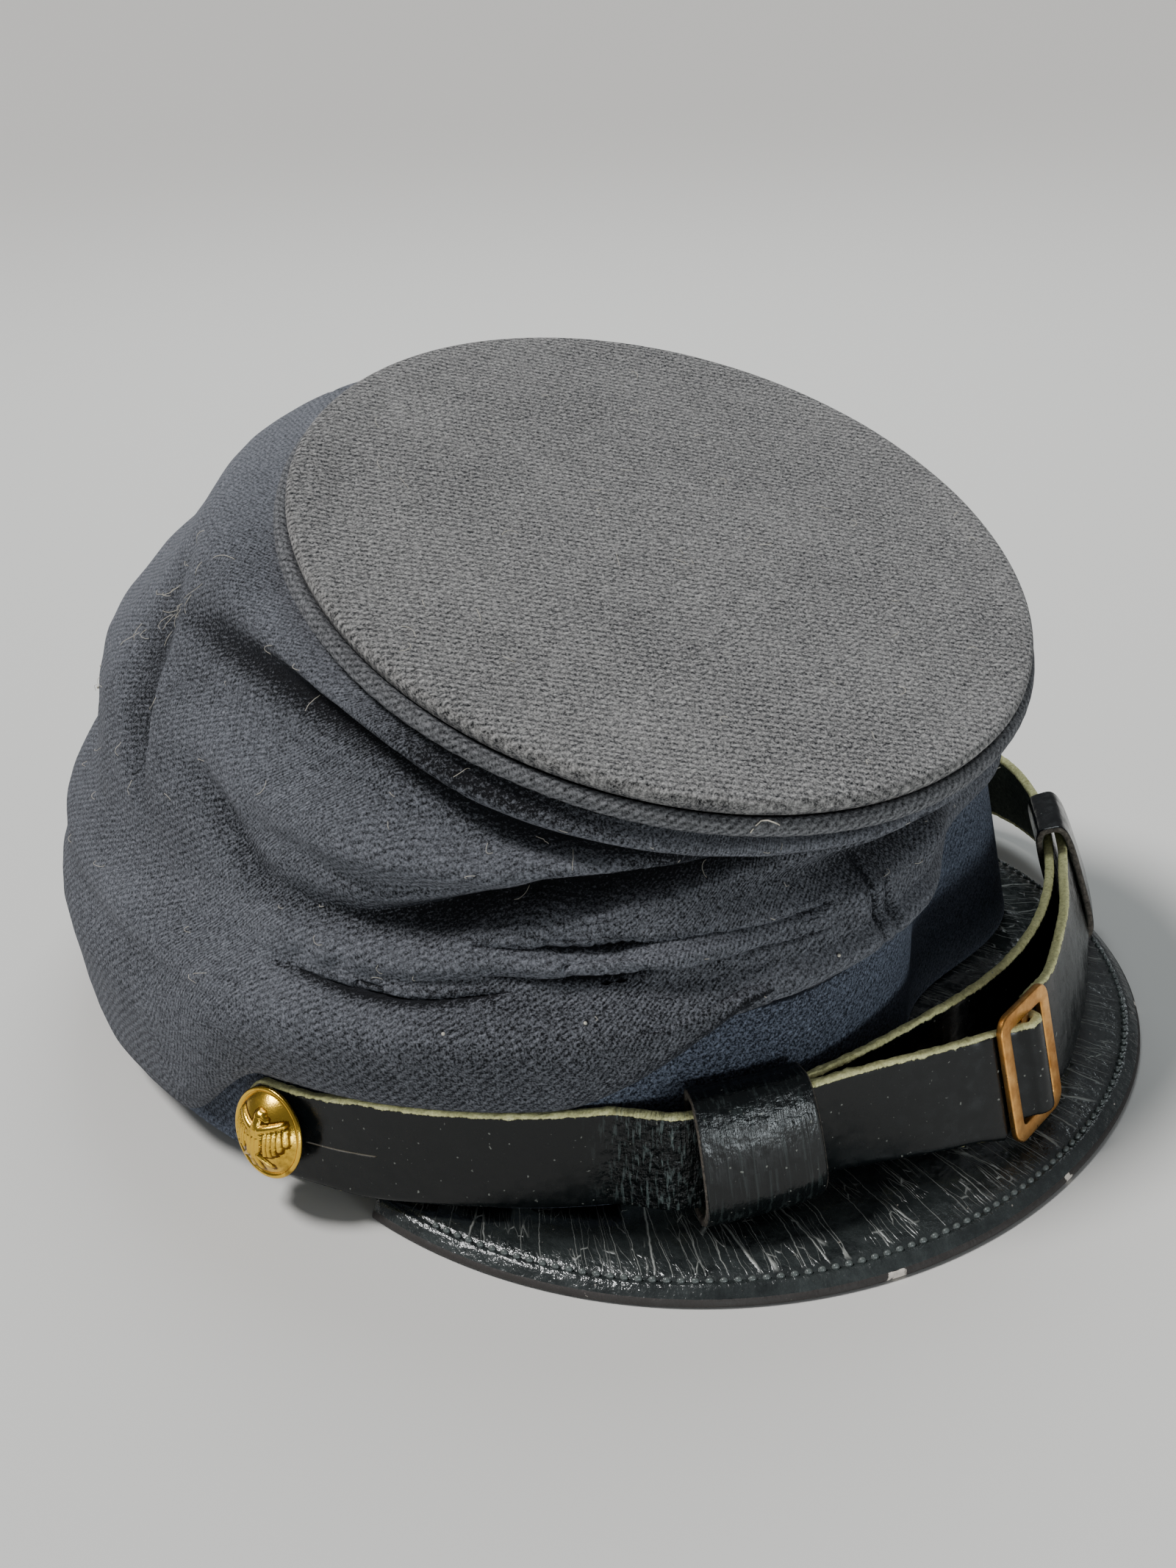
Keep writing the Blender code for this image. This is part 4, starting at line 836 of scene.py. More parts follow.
BUCKLE_LEAN = math.radians(13)
BUCKLE_TURN = math.radians(2.5)


def route_frames(rows, spacing=1.0):
    """Middles, directions along and leaning uprights of the strap on a smooth route of x, y, lean."""
    rows = np.asarray(rows, float)
    places = np.concatenate([[0], np.cumsum(np.linalg.norm(np.diff(rows[:, :2], axis=0), axis=1))])
    route = smooth_through(places, rows, np.linspace(0, places[-1], int(places[-1] / spacing) + 1))
    ahead = np.gradient(route[:, :2], axis=0)
    ahead = np.column_stack([ahead, 0 * ahead[:, 0]])
    ahead /= np.linalg.norm(ahead, axis=1, keepdims=True)
    outward = np.column_stack([ahead[:, 1], -ahead[:, 0], 0 * ahead[:, 0]])
    upright = np.array((0, 0, STRAP_WIDTH)) - outward * route[:, 2:]
    upright /= np.linalg.norm(upright, axis=1, keepdims=True)
    bottom = rim_lift(route[:, 1]) + STRAP_ABOVE_RIM
    middle = np.column_stack([route[:, :2], bottom + STRAP_WIDTH / 2 * upright[:, 2]])
    return middle, ahead, upright


def strap_lean(angle):
    """How far the strap's lower edge leans out where it lies on the band."""
    return 2.4 * ramp(np.abs(angle), 55, 80)


def hugging(start, end, outward, count=14):
    """Route points whose upper edge keeps a distance outside the band, between two angles."""
    angles = np.linspace(start, end, count)
    lean = strap_lean(angles)
    plan = band_outline(angles, outward + lean / 2)
    return [(x, y, edge) for (x, y), edge in zip(plan, lean)]


def rounded_end(middle, tip):
    """Half widths of a strip that narrows towards its buttoned end, which is nearly a half circle."""
    radius, narrow, blunt = STRAP_END
    away = np.linalg.norm(middle - tip, axis=1)
    narrowed = ramp(-away, -32, -12)
    half = STRAP_WIDTH / 2 + (narrow - STRAP_WIDTH / 2) * narrowed
    inward = radius - np.minimum(away, radius)
    return np.minimum(np.sqrt(radius**2 - inward**2) + blunt, half)


def strip_of(middle, ahead, upright, half, bent_at=None):
    """A strip swept along its frames, with marks of its cut and flesh sides.

    The strip that is creased at bent_at mm along it is also the one with the buttonhole's slit. Its section
    is rows of mm through, share up, mm beyond that, cut and flesh."""
    thick = STRAP_THICK
    r = 0.65  # of its rounded edges
    arc = np.radians(np.linspace(0, 90, 4))
    face = np.linspace(-1, 1, 27)
    section = [(thick / 2, level, 0, 0.0, 0.0) for level in face[:-1]] + [(thick / 2, 1, 0, 0.42, 0.0)]
    section += [(thick / 2 - r * (1 - math.cos(a)), 1, r * math.sin(a), 0.9, 0.0) for a in arc[1:]]
    section += [(0.25, 1, r, 1.0, 0.2), (-0.25, 1, r, 1.0, 0.4)]
    section += [(-thick / 2 + r * (1 - math.sin(a)), 1, r * math.cos(a), 1.0, 0.6) for a in arc]
    section += [(-thick / 2, level, 0, 0.0, 1.0) for level in face[::-3]]
    section += [(-thick / 2 + r * (1 - math.cos(a)), -1, -r * math.sin(a), 1.0, 0.6) for a in arc[1:]]
    section += [(-0.25, -1, -r, 1.0, 0.4), (0.25, -1, -r, 1.0, 0.2)]
    section += [(thick / 2 - r * (1 - math.sin(a)), -1, -r * math.cos(a), 0.1, 0.0) for a in arc]
    through, level, beyond, cut, flesh = (np.array(row)[:, None] for row in zip(*section))
    up = level * (half - r)[None, :] + beyond
    normal = np.cross(ahead, upright)
    normal /= np.linalg.norm(normal, axis=1, keepdims=True)
    points = middle + up[..., None] * upright + (through + 0 * up)[..., None] * normal
    points[cut[:, 0] > 0.4] += rough(points[cut[:, 0] > 0.4], 0.7, 0.34)[..., None] * upright
    along = np.concatenate([[0], np.cumsum(np.linalg.norm(np.diff(middle, axis=0), axis=1))])
    pattern = np.stack([along + 0 * up, up + 40 * (flesh > 0.5)], -1)
    bent, slit = 0 * up, 0 * up
    if bent_at:
        bent = bump(along - bent_at, 13.0) + 0 * up
        slit = (np.abs(level + 0.08) < 0.02) * (through > 0) * ramp(along, 12, 14) * ramp(-along, -28, -26)
    rows = (points, pattern, cut + 0 * up, flesh + 0 * up, bent, slit)
    points, pattern, cut, flesh, bent, slit = (np.concatenate([row, row[:1]]) for row in rows)
    shape = grid_of(points, pattern, cut=cut, flesh=flesh, bent=bent, slit=slit)
    bmesh.ops.holes_fill(shape, edges=[edge for edge in shape.edges if edge.is_boundary], sides=0)
    return shape


def strap_leather(name, fibre_dark, fibre_light, gloss=0.32):
    """Black finished cowhide: smooth and glossy, with fine creases where it has bent, painted pale as the
    sheen they catch. Its cut edge is furry fibre and its flesh side grey-green suede."""
    made, tree, shader = bare_material(name, Specular_IOR_Level=gloss)
    place = add(tree, "TexCoord").outputs["UV"]
    body = add(tree, "TexCoord").outputs["Object"]
    cut, flesh, bent, slit = (
        add(tree, "Attribute", {"attribute_name": mark}) for mark in ("cut", "flesh", "bent", "slit")
    )
    fuzz = add(tree, "TexNoise", {"Scale": 1500.0, "Detail": 4.0, "Roughness": 0.7}, Vector=body)
    torn = add(tree, "Math", {"operation": "MULTIPLY_ADD", 1: 0.9, 2: -0.45}, i0=fuzz)
    torn = add(tree, "Math", {"operation": "ADD"}, i0=cut, i1=torn)
    torn = add(tree, "MapRange", {"From Min": 0.42, "From Max": 0.62}, Value=torn)
    furry = add(tree, "MapRange", {"From Min": 0.3, "From Max": 0.7}, Value=fuzz)
    fibre = {"data_type": "RGBA", 6: linear(fibre_dark), 7: linear(fibre_light)}
    fibre = add(tree, "Mix", fibre, Factor=furry)
    suede = add(tree, "Mix", {"data_type": "RGBA", 6: linear("30352E"), 7: linear("687060")}, Factor=furry)
    opened = add(tree, "MapRange", {"From Min": 0.66, "From Max": 0.9}, Value=slit)
    tall = add(tree, "Mapping", {"Scale": (1.0, 0.16, 1.0)}, Vector=place)
    creases = add(tree, "TexNoise", {"Scale": 1.5, "Detail": 3.0, "Roughness": 0.6}, Vector=tall)
    # Pale streaks on the creases where it has bent: painted sheen
    painted_sheen_on_creases = add(tree, "MapRange", {"From Min": 0.53, "From Max": 0.64, "To Max": 0.55}, Value=creases)
    painted_sheen_on_creases = add(tree, "Math", {"operation": "MULTIPLY"}, i0=painted_sheen_on_creases, i1=bent)
    motes = add(tree, "TexNoise", {"Scale": 1500.0, "Detail": 0.0}, Vector=body)
    motes = add(tree, "MapRange", {"From Min": 0.80, "From Max": 0.86, "To Max": 0.6}, Value=motes)
    colour = add(tree, "Mix", {"data_type": "RGBA", 6: linear("080C0D")}, Factor=flesh, i7=suede)
    colour = add(tree, "Mix", {"data_type": "RGBA", 7: linear("6A6356")}, Factor=opened, i6=colour)
    colour = add(tree, "Mix", {"data_type": "RGBA"}, Factor=torn, i6=colour, i7=fibre)
    colour = add(tree, "Mix", {"data_type": "RGBA", 7: linear("6C7876")}, Factor=painted_sheen_on_creases, i6=colour)
    colour = add(tree, "Mix", {"data_type": "RGBA", 7: linear("8E9088")}, Factor=motes, i6=colour)
    grain = add(tree, "TexNoise", {"Scale": 500.0, "Detail": 4.0}, Vector=body)
    sheen = {"From Min": 0.3, "From Max": 0.7, "To Min": 0.16, "To Max": 0.34}
    polish = add(tree, "MapRange", sheen, Value=grain)
    dull = add(tree, "Math", {"operation": "MAXIMUM"}, i0=torn, i1=flesh)
    dulled = {"operation": "MULTIPLY_ADD", 1: 0.65, "use_clamp": True}
    polish = add(tree, "Math", dulled, i0=dull, i2=polish)
    waves = add(tree, "TexNoise", {"Scale": 0.16, "Detail": 2.0}, Vector=place)
    pebbles = add(tree, "TexNoise", {"Scale": 0.7, "Detail": 3.0}, Vector=place)
    creased = add(tree, "Math", {"operation": "MULTIPLY_ADD", 1: 0.8}, i0=creases, i2=pebbles)
    creased = add(tree, "Math", {"operation": "MULTIPLY"}, i0=creased, i1=bent)
    creased = add(tree, "Math", {"operation": "MULTIPLY", 1: 2.0}, i0=creased)
    height = add(tree, "Math", {"operation": "MULTIPLY_ADD", 1: 0.5}, i0=waves, i2=creased)
    height = add(tree, "Math", {"operation": "MULTIPLY_ADD", 1: -1.2}, i0=opened, i2=height)
    hairy = add(tree, "Math", {"operation": "MULTIPLY"}, i0=fuzz, i1=dull)
    height = add(tree, "Math", {"operation": "MULTIPLY_ADD", 1: 0.4}, i0=hairy, i2=height)
    relief = add(tree, "Bump", {"Strength": 1.0, "Distance": 0.0005}, Height=height)
    link(tree, shader, Base_Color=colour, Roughness=polish, Normal=relief)
    return made


buckle_along = np.array((math.cos(BUCKLE_TURN), math.sin(BUCKLE_TURN), 0))
buckle_level = np.array((buckle_along[1], -buckle_along[0], 0))
buckle_upright = np.array((0, 0, math.cos(BUCKLE_LEAN))) - buckle_level * math.sin(BUCKLE_LEAN)
buckle_out = np.cross(buckle_along, buckle_upright)

strap_finish = strap_leather("strap_black_leather", "BAB678", "FFFBBE")
rows = hugging(BUTTON_ANGLE + BUTTON_TO_END, KEEPER_NEAR_ANGLE + 14, HUG, count=18)
rows += hugging(KEEPER_NEAR_ANGLE + 7, KEEPER_NEAR_ANGLE - 6, UNDER_KEEPER + LAYER, count=4)
rows += list(OUTER_LAYER)
middle, ahead, upright = route_frames(rows)
half = rounded_end(middle, middle[0])
behind = -(BUCKLE_THICK / 2 + GAP + STRAP_THICK / 2)
round_bar = BUCKLE_BAR / 2 + GAP + STRAP_THICK / 2
in_window = (BUCKLE_HEIGHT - 2 * BUCKLE_FRAME) / 2 - GAP
curl = [(-BUCKLE_WIDTH / 2 - 1.0, behind - 0.1), (-BUCKLE_WIDTH / 2 + BUCKLE_FRAME, behind)]
curl += [(round_bar * math.cos(a), round_bar * math.sin(a)) for a in np.radians(np.arange(155, -121, -12))]
curl = np.array(curl)
curled = BUCKLE_MIDDLE + curl[:, :1] * buckle_along + curl[:, 1:] * buckle_out
turns = np.gradient(curled, axis=0)
turns /= np.linalg.norm(turns, axis=1, keepdims=True)
middle = np.concatenate([middle, curled])
ahead = np.concatenate([ahead, turns])
upright = np.concatenate([upright, buckle_upright + 0 * curled])
half = np.concatenate([half, [STRAP_WIDTH / 2], np.full(len(curl) - 1, in_window)])
shape = strip_of(middle, ahead, upright, half, bent_at=72.0)
settle(shape, "strap_right_leather", strap_finish, "patent_leather", "strap_right")

rows = hugging(KEEPER_NEAR_ANGLE + 5, KEEPER_NEAR_ANGLE - 6, UNDER_KEEPER, count=4) + list(INNER_LAYER)
rows += hugging(-BUTTON_ANGLE + 9, -BUTTON_ANGLE - BUTTON_TO_END, HUG, count=5)
middle, ahead, upright = route_frames(rows)
shape = strip_of(middle, ahead, upright, rounded_end(middle, middle[-1]))
settle(shape, "strap_left_leather", strap_finish, "patent_leather", "strap_left")

start = BUCKLE_MIDDLE + 4.3 * buckle_along + behind * buckle_out
rows = [(start[0], start[1], STRAP_WIDTH * math.sin(BUCKLE_LEAN)), *TAIL_LAYER]
middle, ahead, upright = route_frames(rows)
shape = strip_of(middle, ahead, upright, STRAP_WIDTH / 2 + 0 * middle[:, 0])
settle(shape, "strap_tail_leather", strap_finish, "patent_leather", "strap_tail")

# ------------------------------------------------------------------------------------------------
# Keepers. Two loops of the same leather, 18.5 mm long, that slide on the strap's two layers. They
# are skived and folded, so their faces are round and glossy and their cut ends brown-grey.

KEEPER_LENGTH = 18.5
KEEPER_FAR = ((55.4, -82.6, 6.2), (62.3, -78.4, 6.8), (69.8, -73.4, 7.3))
KEEPER_SQUARE = 0.5  # exponent of its section, 1 for an oval


def keeper_of(rows, inside_depth, half_height, raised, skew, bulge):
    """A loop of leather swept a little way along the strap's curve, its ends rounded over.

    It stands raised above the strap's middle, leans by skew, and its outer face swells out by bulge."""
    middle, ahead, upright = route_frames(rows, spacing=0.6)
    normal = np.cross(ahead, upright)
    turn = np.linspace(0, 2 * math.pi, 121)[None, :]
    out = np.sign(np.cos(turn)) * np.abs(np.cos(turn)) ** KEEPER_SQUARE
    up = np.sign(np.sin(turn)) * np.abs(np.sin(turn)) ** KEEPER_SQUARE
    count = len(middle)
    # Each row of its section is which frame it lies in, and the share of the wall out from its inside.
    section = [(0, 0.25), (0, 0.55), (0, 0.85), (0.6, 1.0)] + [(i, 1.0) for i in range(1, count - 1)]
    section += [(count - 1.6, 1.0), (count - 1, 0.85), (count - 1, 0.55), (count - 1, 0.25)]
    section += [(i, 0.0) for i in range(count - 2, 0, -2)] + [(0, 0.25)]
    at, share = (np.array(row, float) for row in zip(*section))
    whole = np.arange(count)
    middle, ahead, upright, normal = (
        np.stack([np.interp(at, whole, axis) for axis in row.T], -1)[:, None, :]
        for row in (middle, ahead, upright, normal)
    )
    share = share[:, None]
    swell = np.where(up > -0.35, 1 - (np.abs(up + 0.35) / 1.35) ** 1.4, 1 - 0.6 * ((up + 0.35) / 0.65) ** 2)
    depth = inside_depth + KEEPER_WALL * share + (out > 0) * bulge * swell
    high = (half_height - KEEPER_WALL * (1 - share)) * up
    points = middle + normal * (out * depth)[..., None] + upright * (high + raised)[..., None]
    points = points - ahead * (high * skew)[..., None]
    cut = np.where((at < 0.5) | (at > count - 1.5), 1.0, 0.0)[:, None] + 0 * turn
    pattern = np.stack([at[:, None] * 0.6 + 0 * turn, turn * 9 + 0 * share], -1)
    flesh = (share < 0.1) + 0 * turn
    # The near keeper's outer face gets the creases and their painted pale sheen
    bent = 0.20 * (bulge > 1) * (out > 0) * (share > 0.9)
    return grid_of(points, pattern, cut=cut, flesh=flesh, bent=bent)


keeper_finish = strap_leather("keeper_black_leather", "1E1A18", "6E665C", gloss=0.36)
middle_out = UNDER_KEEPER + LAYER / 2
half_turn = math.degrees(KEEPER_LENGTH / 2 / BAND_FRONT)
rows = hugging(KEEPER_NEAR_ANGLE + half_turn, KEEPER_NEAR_ANGLE - half_turn, middle_out, count=5)
depth = LAYER / 2 + STRAP_THICK / 2 + GAP
shape = keeper_of(rows, depth, half_height=12.0, raised=0.0, skew=0.04, bulge=4.3)
settle(shape, "keeper_near_leather", keeper_finish, "keeper_leather", "keeper_near")
shape = keeper_of(KEEPER_FAR, 2.4, half_height=13.1, raised=1.12, skew=0.0, bulge=0.1)
settle(shape, "keeper_far_leather", keeper_finish, "keeper_leather", "keeper_far")

# ------------------------------------------------------------------------------------------------
# Buckle. A flat frame stamped from 1.2 mm brass sheet, with a bar down its middle. Its corners and
# edges are tumbled round, and it has tarnished to a coppery brown that is rubbed bright in places.

BUCKLE_CORNER = 2.9
BUCKLE_WINDOW_CORNER = 0.7
BUCKLE_EDGE = 0.30


def rounded_outline(half_wide, half_high, radius, count):
    """Points round a rectangle with rounded corners, the same number at every corner and side."""
    points = []
    corners = ((1, 1, 0), (-1, 1, 90), (-1, -1, 180), (1, -1, 270))
    for x, y, start in corners:
        for turn in np.radians(np.linspace(start, start + 90, count)):
            points.append((x * (half_wide - radius) + radius * math.cos(turn),
                           y * (half_high - radius) + radius * math.sin(turn)))
    return np.array(points + points[:1])


def worn_metal(name, bright, tarnish, rough_low, rough_high, scale, kept=0.0):
    """Sheet brass with its polish gone in patches, fewer the more is kept: tarnish is darker and duller."""
    made, tree, shader = bare_material(name, Metallic=1.0)
    body = add(tree, "TexCoord").outputs["Object"]
    patches = add(tree, "TexNoise", {"Scale": scale, "Detail": 6.0, "Roughness": 0.65}, Vector=body)
    amount = add(tree, "MapRange", {"From Min": 0.38 + kept, "From Max": 0.66 + kept}, Value=patches)
    hollow = add(tree, "Attribute", {"attribute_name": "hollow"})
    amount = add(tree, "Math", {"operation": "ADD", "use_clamp": True}, i0=amount, i1=hollow)
    colour = add(tree, "Mix", {"data_type": "RGBA", 6: linear(bright), 7: linear(tarnish)}, Factor=amount)
    gloss = add(tree, "MapRange", {"To Min": rough_low, "To Max": rough_high}, Value=amount)
    scratches = add(tree, "TexNoise", {"Scale": scale * 12, "Detail": 3.0}, Vector=body)
    relief = add(tree, "Bump", {"Strength": 0.25, "Distance": 0.0001}, Height=scratches)
    link(tree, shader, Base_Color=colour, Roughness=gloss, Normal=relief)
    return made


buckle_metal = worn_metal("tarnished_brass", "E2AA62", "A87032", 0.26, 0.5, 200.0)
outer = rounded_outline(BUCKLE_WIDTH / 2, BUCKLE_HEIGHT / 2, BUCKLE_CORNER, 9)
window = (BUCKLE_WIDTH / 2 - BUCKLE_FRAME, BUCKLE_HEIGHT / 2 - BUCKLE_FRAME)
inner = rounded_outline(*window, BUCKLE_WINDOW_CORNER, 9)
# The frame's section, in rows of share from the outer to the inner outline and height off its middle.
t = BUCKLE_THICK / 2
rim = [
    (BUCKLE_EDGE / BUCKLE_FRAME * (1 - math.sin(a)), t - BUCKLE_EDGE * (1 - math.cos(a)))
    for a in np.radians(np.linspace(0, 90, 5))
]
section = rim + [(w, -z) for w, z in rim[::-1]]
section += [(1 - w, -z) for w, z in rim] + [(1 - w, z) for w, z in rim[::-1]] + rim[:1]
points = []
for w, z in section:
    plan = outer * (1 - w) + inner * w
    points.append(BUCKLE_MIDDLE + plan[:, :1] * buckle_along + plan[:, 1:] * buckle_upright + z * buckle_out)
shape = grid_of(np.array(points), np.zeros((len(section), len(outer), 2)), hollow=0.0)
turn = Matrix([Vector(a) for a in (buckle_along, buckle_upright, buckle_out)]).transposed().to_4x4()
spot = Matrix.Translation(Vector((BUCKLE_MIDDLE + BAND_MIDDLE) * MM)) @ turn
bar = Matrix.Diagonal((BUCKLE_BAR * MM, (BUCKLE_HEIGHT - BUCKLE_FRAME) * MM, BUCKLE_THICK * 0.9 * MM, 1))
bmesh.ops.create_cube(shape, size=1, matrix=spot @ bar)
settle(shape, "buckle_brass", buckle_metal, "buckle_brass", "buckle")

# ------------------------------------------------------------------------------------------------
# Buttons. Two gilt cuff buttons 15.6 mm across, die-struck: a dome with a rolled rim, and on it a
# heraldic eagle behind a striped shield. Their shanks go through the strap and the band.

BUTTON_RADIUS = 7.8
BUTTON_RIM = 0.9
BUTTON_DOME = 3.0
BUTTON_BACK = STRAP_THICK / 2 + GAP + 1.1  # its back's distance from the strap's middle
SHANK_RADIUS = 1.5
EAGLE_RAISED = 0.6


def button_matrix(side):
    """From a button's own axes, in mm, to its place in metres; it tilts up and a little back."""
    angle = side * BUTTON_ANGLE
    x, y = band_outline(angle, HUG + strap_lean(angle) / 2)
    height = rim_lift(y) + STRAP_ABOVE_RIM + STRAP_WIDTH / 2
    turn = math.radians(side * (BUTTON_ANGLE + 6))
    reach = BAND_FRONT if math.cos(turn) > 0 else BAND_BACK
    out = Vector((-math.sin(turn) / BAND_HALF_WIDTH, -math.cos(turn) / reach, 0)).normalized()
    out = (out + Vector((0, 0, math.tan(math.radians(15))))).normalized()
    across = Vector((0, 0, 1)).cross(out).normalized()
    turned = Matrix((across, out.cross(across), out)).transposed().to_4x4()
    middle = Vector((np.array((x, y, height)) + BAND_MIDDLE) * MM)
    return Matrix.Translation(middle) @ turned @ Matrix.Scale(MM, 4)


def stroke(x, y, x0, y0, x1, y1, wide0, wide1):
    """Height 0 to 1 of a round-topped stroke between two points, tapering from wide0 to wide1."""
    dx, dy = x1 - x0, y1 - y0
    t = np.clip(((x - x0) * dx + (y - y0) * dy) / (dx * dx + dy * dy), 0, 1)
    away = np.hypot(x - x0 - t * dx, y - y0 - t * dy) / (wide0 + (wide1 - wide0) * t)
    return np.sqrt(np.clip(1 - away * away, 0, 1))


def eagle(x, y, wider=0.0):
    """Relief of the button's face: a spread eagle behind a striped shield, 0 to 1, in mm of its plane."""
    # Each stroke is its height, where it starts and ends, and its half widths there.
    neck = (1.0, 0, 1.6, 0.1, 3.2, 1.0, 0.8)
    head = (1.0, 0.1, 3.9, 0.6, 4.0, 0.95, 0.7)
    beak = (1.0, 1.0, 3.9, 2.0, 3.5, 0.45, 0.2)
    strokes = [neck, head, beak]
    for side in (-1, 1):
        wing = (1.0, side * 1.0, 1.7, side * 4.6, 3.3, 0.7, 0.5)
        claw = (0.8, side * 1.2, -3.0, side * 3.2, -4.4, 0.5, 0.3)
        tail = (0.8, side * 0.3, -3.0, side * 0.9, -5.4, 0.5, 0.4)
        strokes += [wing, claw, tail]
        for i in range(5):
            root = (side * (2.3 + 0.7 * i), 1.5 + 0.28 * i)
            tip = (side * (2.5 + 0.78 * i), -2.3 + 0.16 * i * i)
            strokes.append((0.9, *root, *tip, 0.33, 0.29))
    height = 0.0
    for tall, x0, y0, x1, y1, wide0, wide1 in strokes:
        height = np.maximum(height, tall * stroke(x, y, x0, y0, x1, y1, wide0 + wider, wide1 + wider))
    wide = 1.9 * np.sqrt(np.clip((y + 3.2) / 2.4, 0, 1)) + wider
    shield = (np.abs(x) < wide) & (y < 1.3 + wider)
    stripes = 0.8 + 0.25 * np.cos(2 * math.pi * x / 0.95) * (y < 0.4)
    return np.where(shield, stripes, height)


button_metal = worn_metal("gilt_brass", "EBBE48", "5E3E0E", 0.20, 0.42, 330.0, kept=0.14)
shank_end = -(HUG + 1.2 + BAND_WALL + 1.6)
dome_radius = BUTTON_RADIUS - BUTTON_RIM
crown = BUTTON_BACK + BUTTON_RIM * 0.75
profile = [
    (radius, crown + BUTTON_DOME * (1 - (radius / dome_radius) ** 2.4))
    for radius in np.linspace(0, dome_radius, 46)
]
for turn in np.radians(np.linspace(150, -90, 14)):
    profile.append((BUTTON_RADIUS - BUTTON_RIM / 2 * (1 - math.cos(turn)),
                    BUTTON_BACK + BUTTON_RIM / 2 + BUTTON_RIM / 2 * math.sin(turn)))
profile += [(5.5, BUTTON_BACK + 0.1), (SHANK_RADIUS, BUTTON_BACK + 0.1)]
profile += [(SHANK_RADIUS, shank_end), (0, shank_end)]
for side, name in ((1, "button_right"), (-1, "button_left")):
    shape = spun(profile, 192)
    layer = shape.verts.layers.float.new("hollow")
    for vert in shape.verts:
        x, y, z = vert.co
        # Its back is dark: tarnish, and painted shade where it sits on the strap
        if z < BUTTON_BACK + 0.3:
            vert[layer] = 1.0
        if z > crown - 0.4 and math.hypot(x, y) < dome_radius - 0.1:
            raised = float(eagle(np.float64(x * side), np.float64(y)))
            around = float(eagle(np.float64(x * side), np.float64(y), 0.4))
            vert.co.z += EAGLE_RAISED * raised
            vert[layer] = 0.95 * (around > 0) * (1 - min(raised * 1.8, 1.0))
    shape.transform(button_matrix(side))
    settle(shape, name + "_gilt", button_metal, "button_gilt", name)

# ------------------------------------------------------------------------------------------------
# Lint. Stray pale wool fibres, curled and 0.1 mm thick, and a few specks of fluff. They cling to the
# nap of the wall and the top, partly sunk in it, and one thicker thread hangs on the welt.

FIBRE_RADIUS = 0.048
FIBRE_TUFT = (124, 0.82)  # angle and share of the wall's way up, where many cling together
SPECKS = ((133, 0.52), (134, 0.44), (47, 0.13), (60, 0.10), (20, 0.2))  # the same for the specks of fluff


def fibre(shape, path, radius=FIBRE_RADIUS):
    """A thin three-sided tube along a path of points in mm."""
    ahead = np.gradient(path, axis=0)
    ahead /= np.maximum(np.linalg.norm(ahead, axis=1, keepdims=True), 1e-9)
    side = np.cross(ahead, (0.3, 0.2, 0.93))
    side /= np.linalg.norm(side, axis=1, keepdims=True)
    other = np.cross(ahead, side)
    rings = []
    for place, one, two in zip(path, side, other):
        ring = [place + radius * (math.cos(turn) * one + math.sin(turn) * two) for turn in (0.0, 2.1, 4.2)]
        rings.append([shape.verts.new((np.array(point) + BAND_MIDDLE) * MM) for point in ring])
    for low, high in zip(rings, rings[1:]):
        for i in range(3):
            shape.faces.new((low[i - 1], low[i], high[i], high[i - 1]))


luck = random.Random(5)
shape = bmesh.new()
starts = [(luck.uniform(28, 132), luck.uniform(0.08, 0.96), luck.uniform(2.0, 5.0)) for _ in range(56)]
starts += [(luck.uniform(-175, 20), luck.uniform(0.10, 0.96), luck.uniform(2.0, 5.0)) for _ in range(50)]
tuft_angle, tuft_level = FIBRE_TUFT
starts += [(luck.gauss(tuft_angle, 3), luck.gauss(tuft_level, 0.06), luck.uniform(4, 9)) for _ in range(16)]
for angle, level, size in starts:
    heading, curl = luck.uniform(0, 2 * math.pi), luck.uniform(-0.5, 0.5)
    steps = heading + curl * np.arange(8) + np.array([luck.uniform(-0.3, 0.3) for _ in range(8)])
    angles = angle + np.cumsum(np.cos(steps)) * size / 8 * 0.66
    levels = np.clip(level + np.cumsum(np.sin(steps)) * size / 8 * 0.013, 0.06, 0.99)
    lifted = 1.15 + 0.5 * np.sin(np.linspace(0.2, 2.9, 8) * luck.uniform(1, 2))
    turned = np.radians(angles)
    outward = np.stack([-np.sin(turned), -np.cos(turned), 0.3 + 0 * turned], -1)
    fibre(shape, wall_point(angles, levels) + outward * lifted[:, None])
for _ in range(36):
    radius, turned = 64 * math.sqrt(luck.random()), luck.uniform(0, 2 * math.pi)
    heading, curl, size = luck.uniform(0, 2 * math.pi), luck.uniform(-0.5, 0.5), luck.uniform(1.5, 4.0)
    steps = heading + curl * np.arange(8)
    x = radius * math.cos(turned) + np.cumsum(np.cos(steps)) * size / 8
    y = radius * math.sin(turned) + np.cumsum(np.sin(steps)) * size / 8
    up = 0.45 + 0.3 * np.sin(np.linspace(0, 3, 8))
    fibre(shape, TOP_MIDDLE + x[:, None] * top_left + y[:, None] * top_back + up[:, None] * top_out)
turned = np.linspace(33, 38, 9)
thread_path = top_rim(turned, 68.2 + 0.6 * np.sin(turned * 2.0), 3.4 - 1.4 * np.sin(turned * 1.1))
fibre(shape, thread_path, 0.13)
for angle, level in SPECKS:
    place = wall_point(np.array([angle]), np.array([level]))[0]
    turned = math.radians(angle)
    place = place + 1.1 * np.array((-math.sin(turned), -math.cos(turned), 0.2)) + BAND_MIDDLE
    bmesh.ops.create_icosphere(shape, subdivisions=1, radius=0.32 * MM, matrix=Matrix.Translation(place * MM))
lint = bare_material("pale_wool_fibre", Base_Color=linear("BDB6A8"), Roughness=0.9)[0]
settle(shape, "lint_fibres", lint, "wool_broadcloth")

# ------------------------------------------------------------------------------------------------
# Stage. A pale floor, soft studio light from above, and the camera of the photograph.

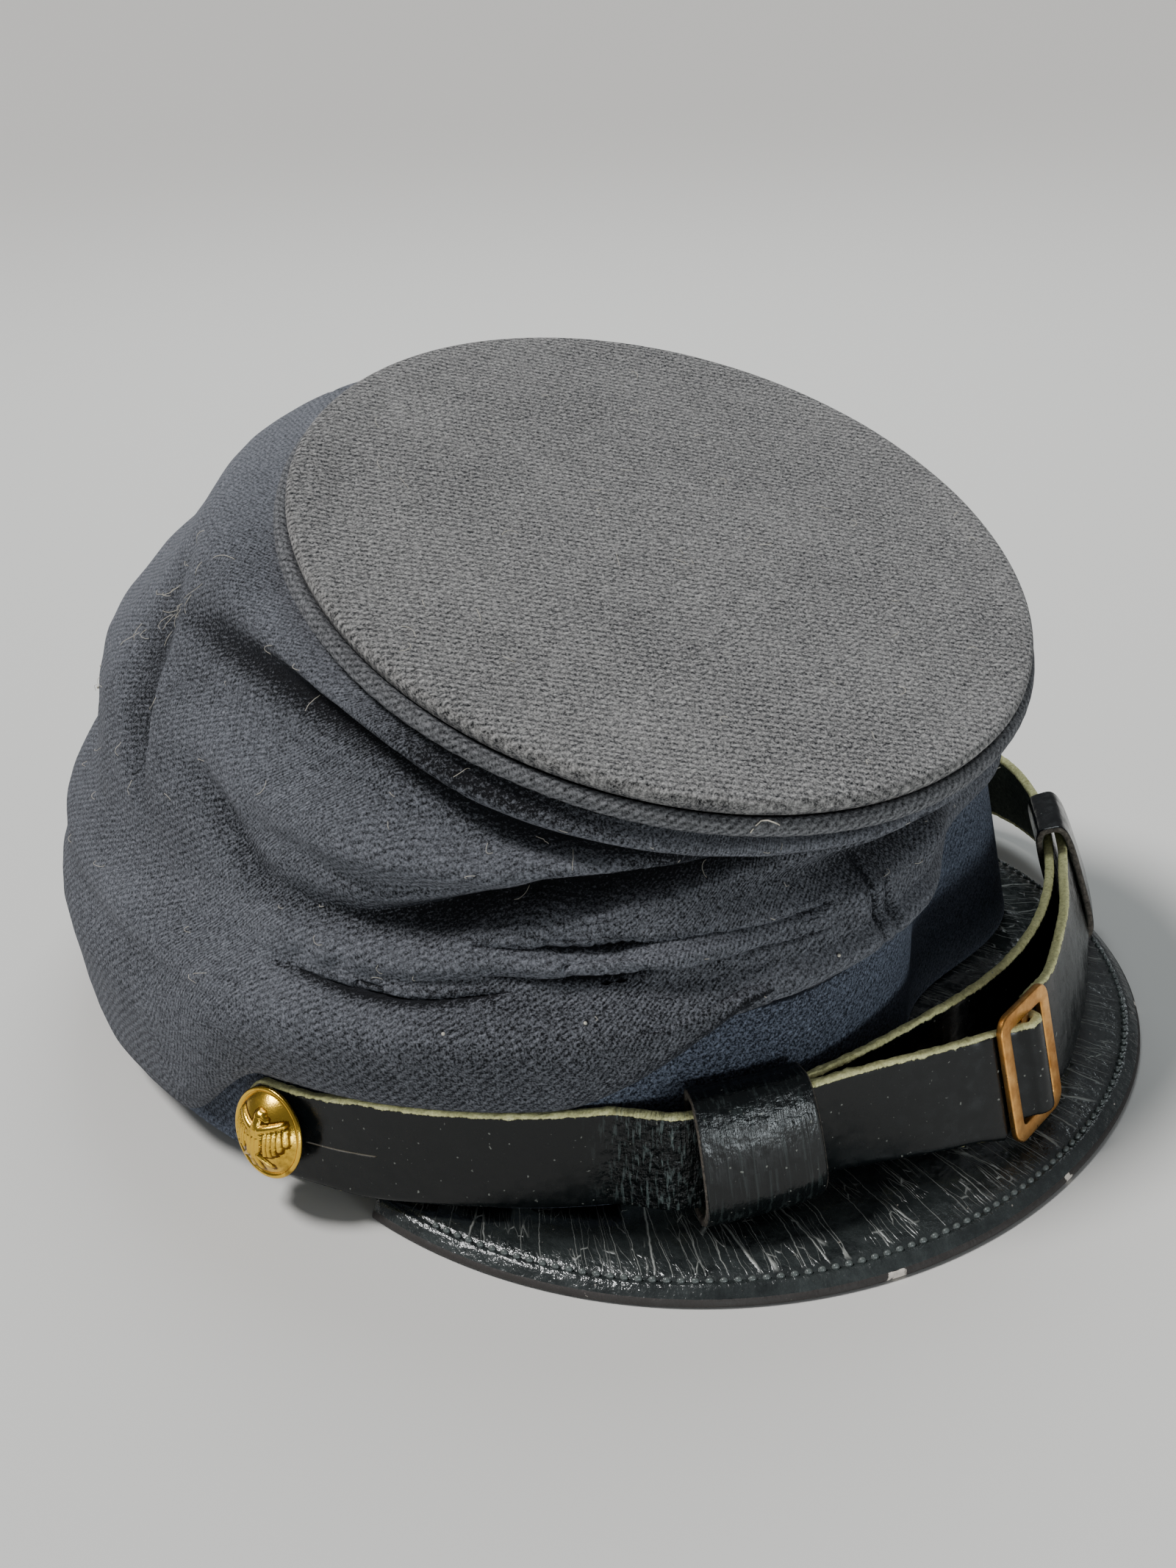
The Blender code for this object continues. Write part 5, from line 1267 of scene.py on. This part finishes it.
CAMERA_PLACE = (-0.21575, -0.20510, 0.18807)  # m
CAMERA_LENS = 38.61  # mm, on a frame 36 mm high

bpy.ops.mesh.primitive_plane_add(size=60)
floor = bpy.context.object
floor.name = "floor"
floor.data.materials.append(bare_material("pale_floor", Base_Color=linear("CDCBC7"), Roughness=0.8)[0])
floor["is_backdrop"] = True

world = bpy.data.worlds.new("studio")
world.use_nodes = True
world.node_tree.nodes["Background"].inputs["Color"].default_value = linear("E6E9EE")
world.node_tree.nodes["Background"].inputs["Strength"].default_value = 0.20
bpy.context.scene.world = world
key = bpy.data.lights.new("ceiling_light", "SUN")
key.energy = 3.7
key.angle = math.radians(14)
light = bpy.data.objects.new("ceiling_light", key)
light.rotation_euler = Vector((-0.34, 0.52, 1.0)).to_track_quat("Z", "Y").to_euler()
bpy.context.scene.collection.objects.link(light)
for name, place, size, power in (
    ("window_light", (0.45, 0.41, 0.91), (0.5, 0.5), 5.0),
    ("front_light", (-0.26, -1.0, 0.10), (0.30, 0.18), 3.2),
    ("low_light", (-0.86, -0.70, 0.10), (0.22, 0.16), 1.8),
):
    lamp = bpy.data.lights.new(name, "AREA")
    lamp.energy = power
    lamp.color = linear("EAF4F8")[:3]
    lamp.shape = "RECTANGLE"
    lamp.size, lamp.size_y = size
    light = bpy.data.objects.new(name, lamp)
    light.location = place
    light.rotation_euler = (Vector((0, 0, 0.05)) - Vector(place)).to_track_quat("-Z", "Y").to_euler()
    bpy.context.scene.collection.objects.link(light)

lens = bpy.data.cameras.new("camera")
lens.sensor_fit = "VERTICAL"
lens.sensor_height = 36
lens.lens = CAMERA_LENS
lens.clip_start = 0.01
camera = bpy.data.objects.new("camera", lens)
right = (0.66857, -0.74250, -0.04140)
up = (0.35923, 0.27372, 0.89221)
back = (-0.65113, -0.61137, 0.44976)
camera.matrix_world = Matrix.Translation(CAMERA_PLACE) @ Matrix((right, up, back)).transposed().to_4x4()
bpy.context.scene.collection.objects.link(camera)
bpy.context.scene.camera = camera

low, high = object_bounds()
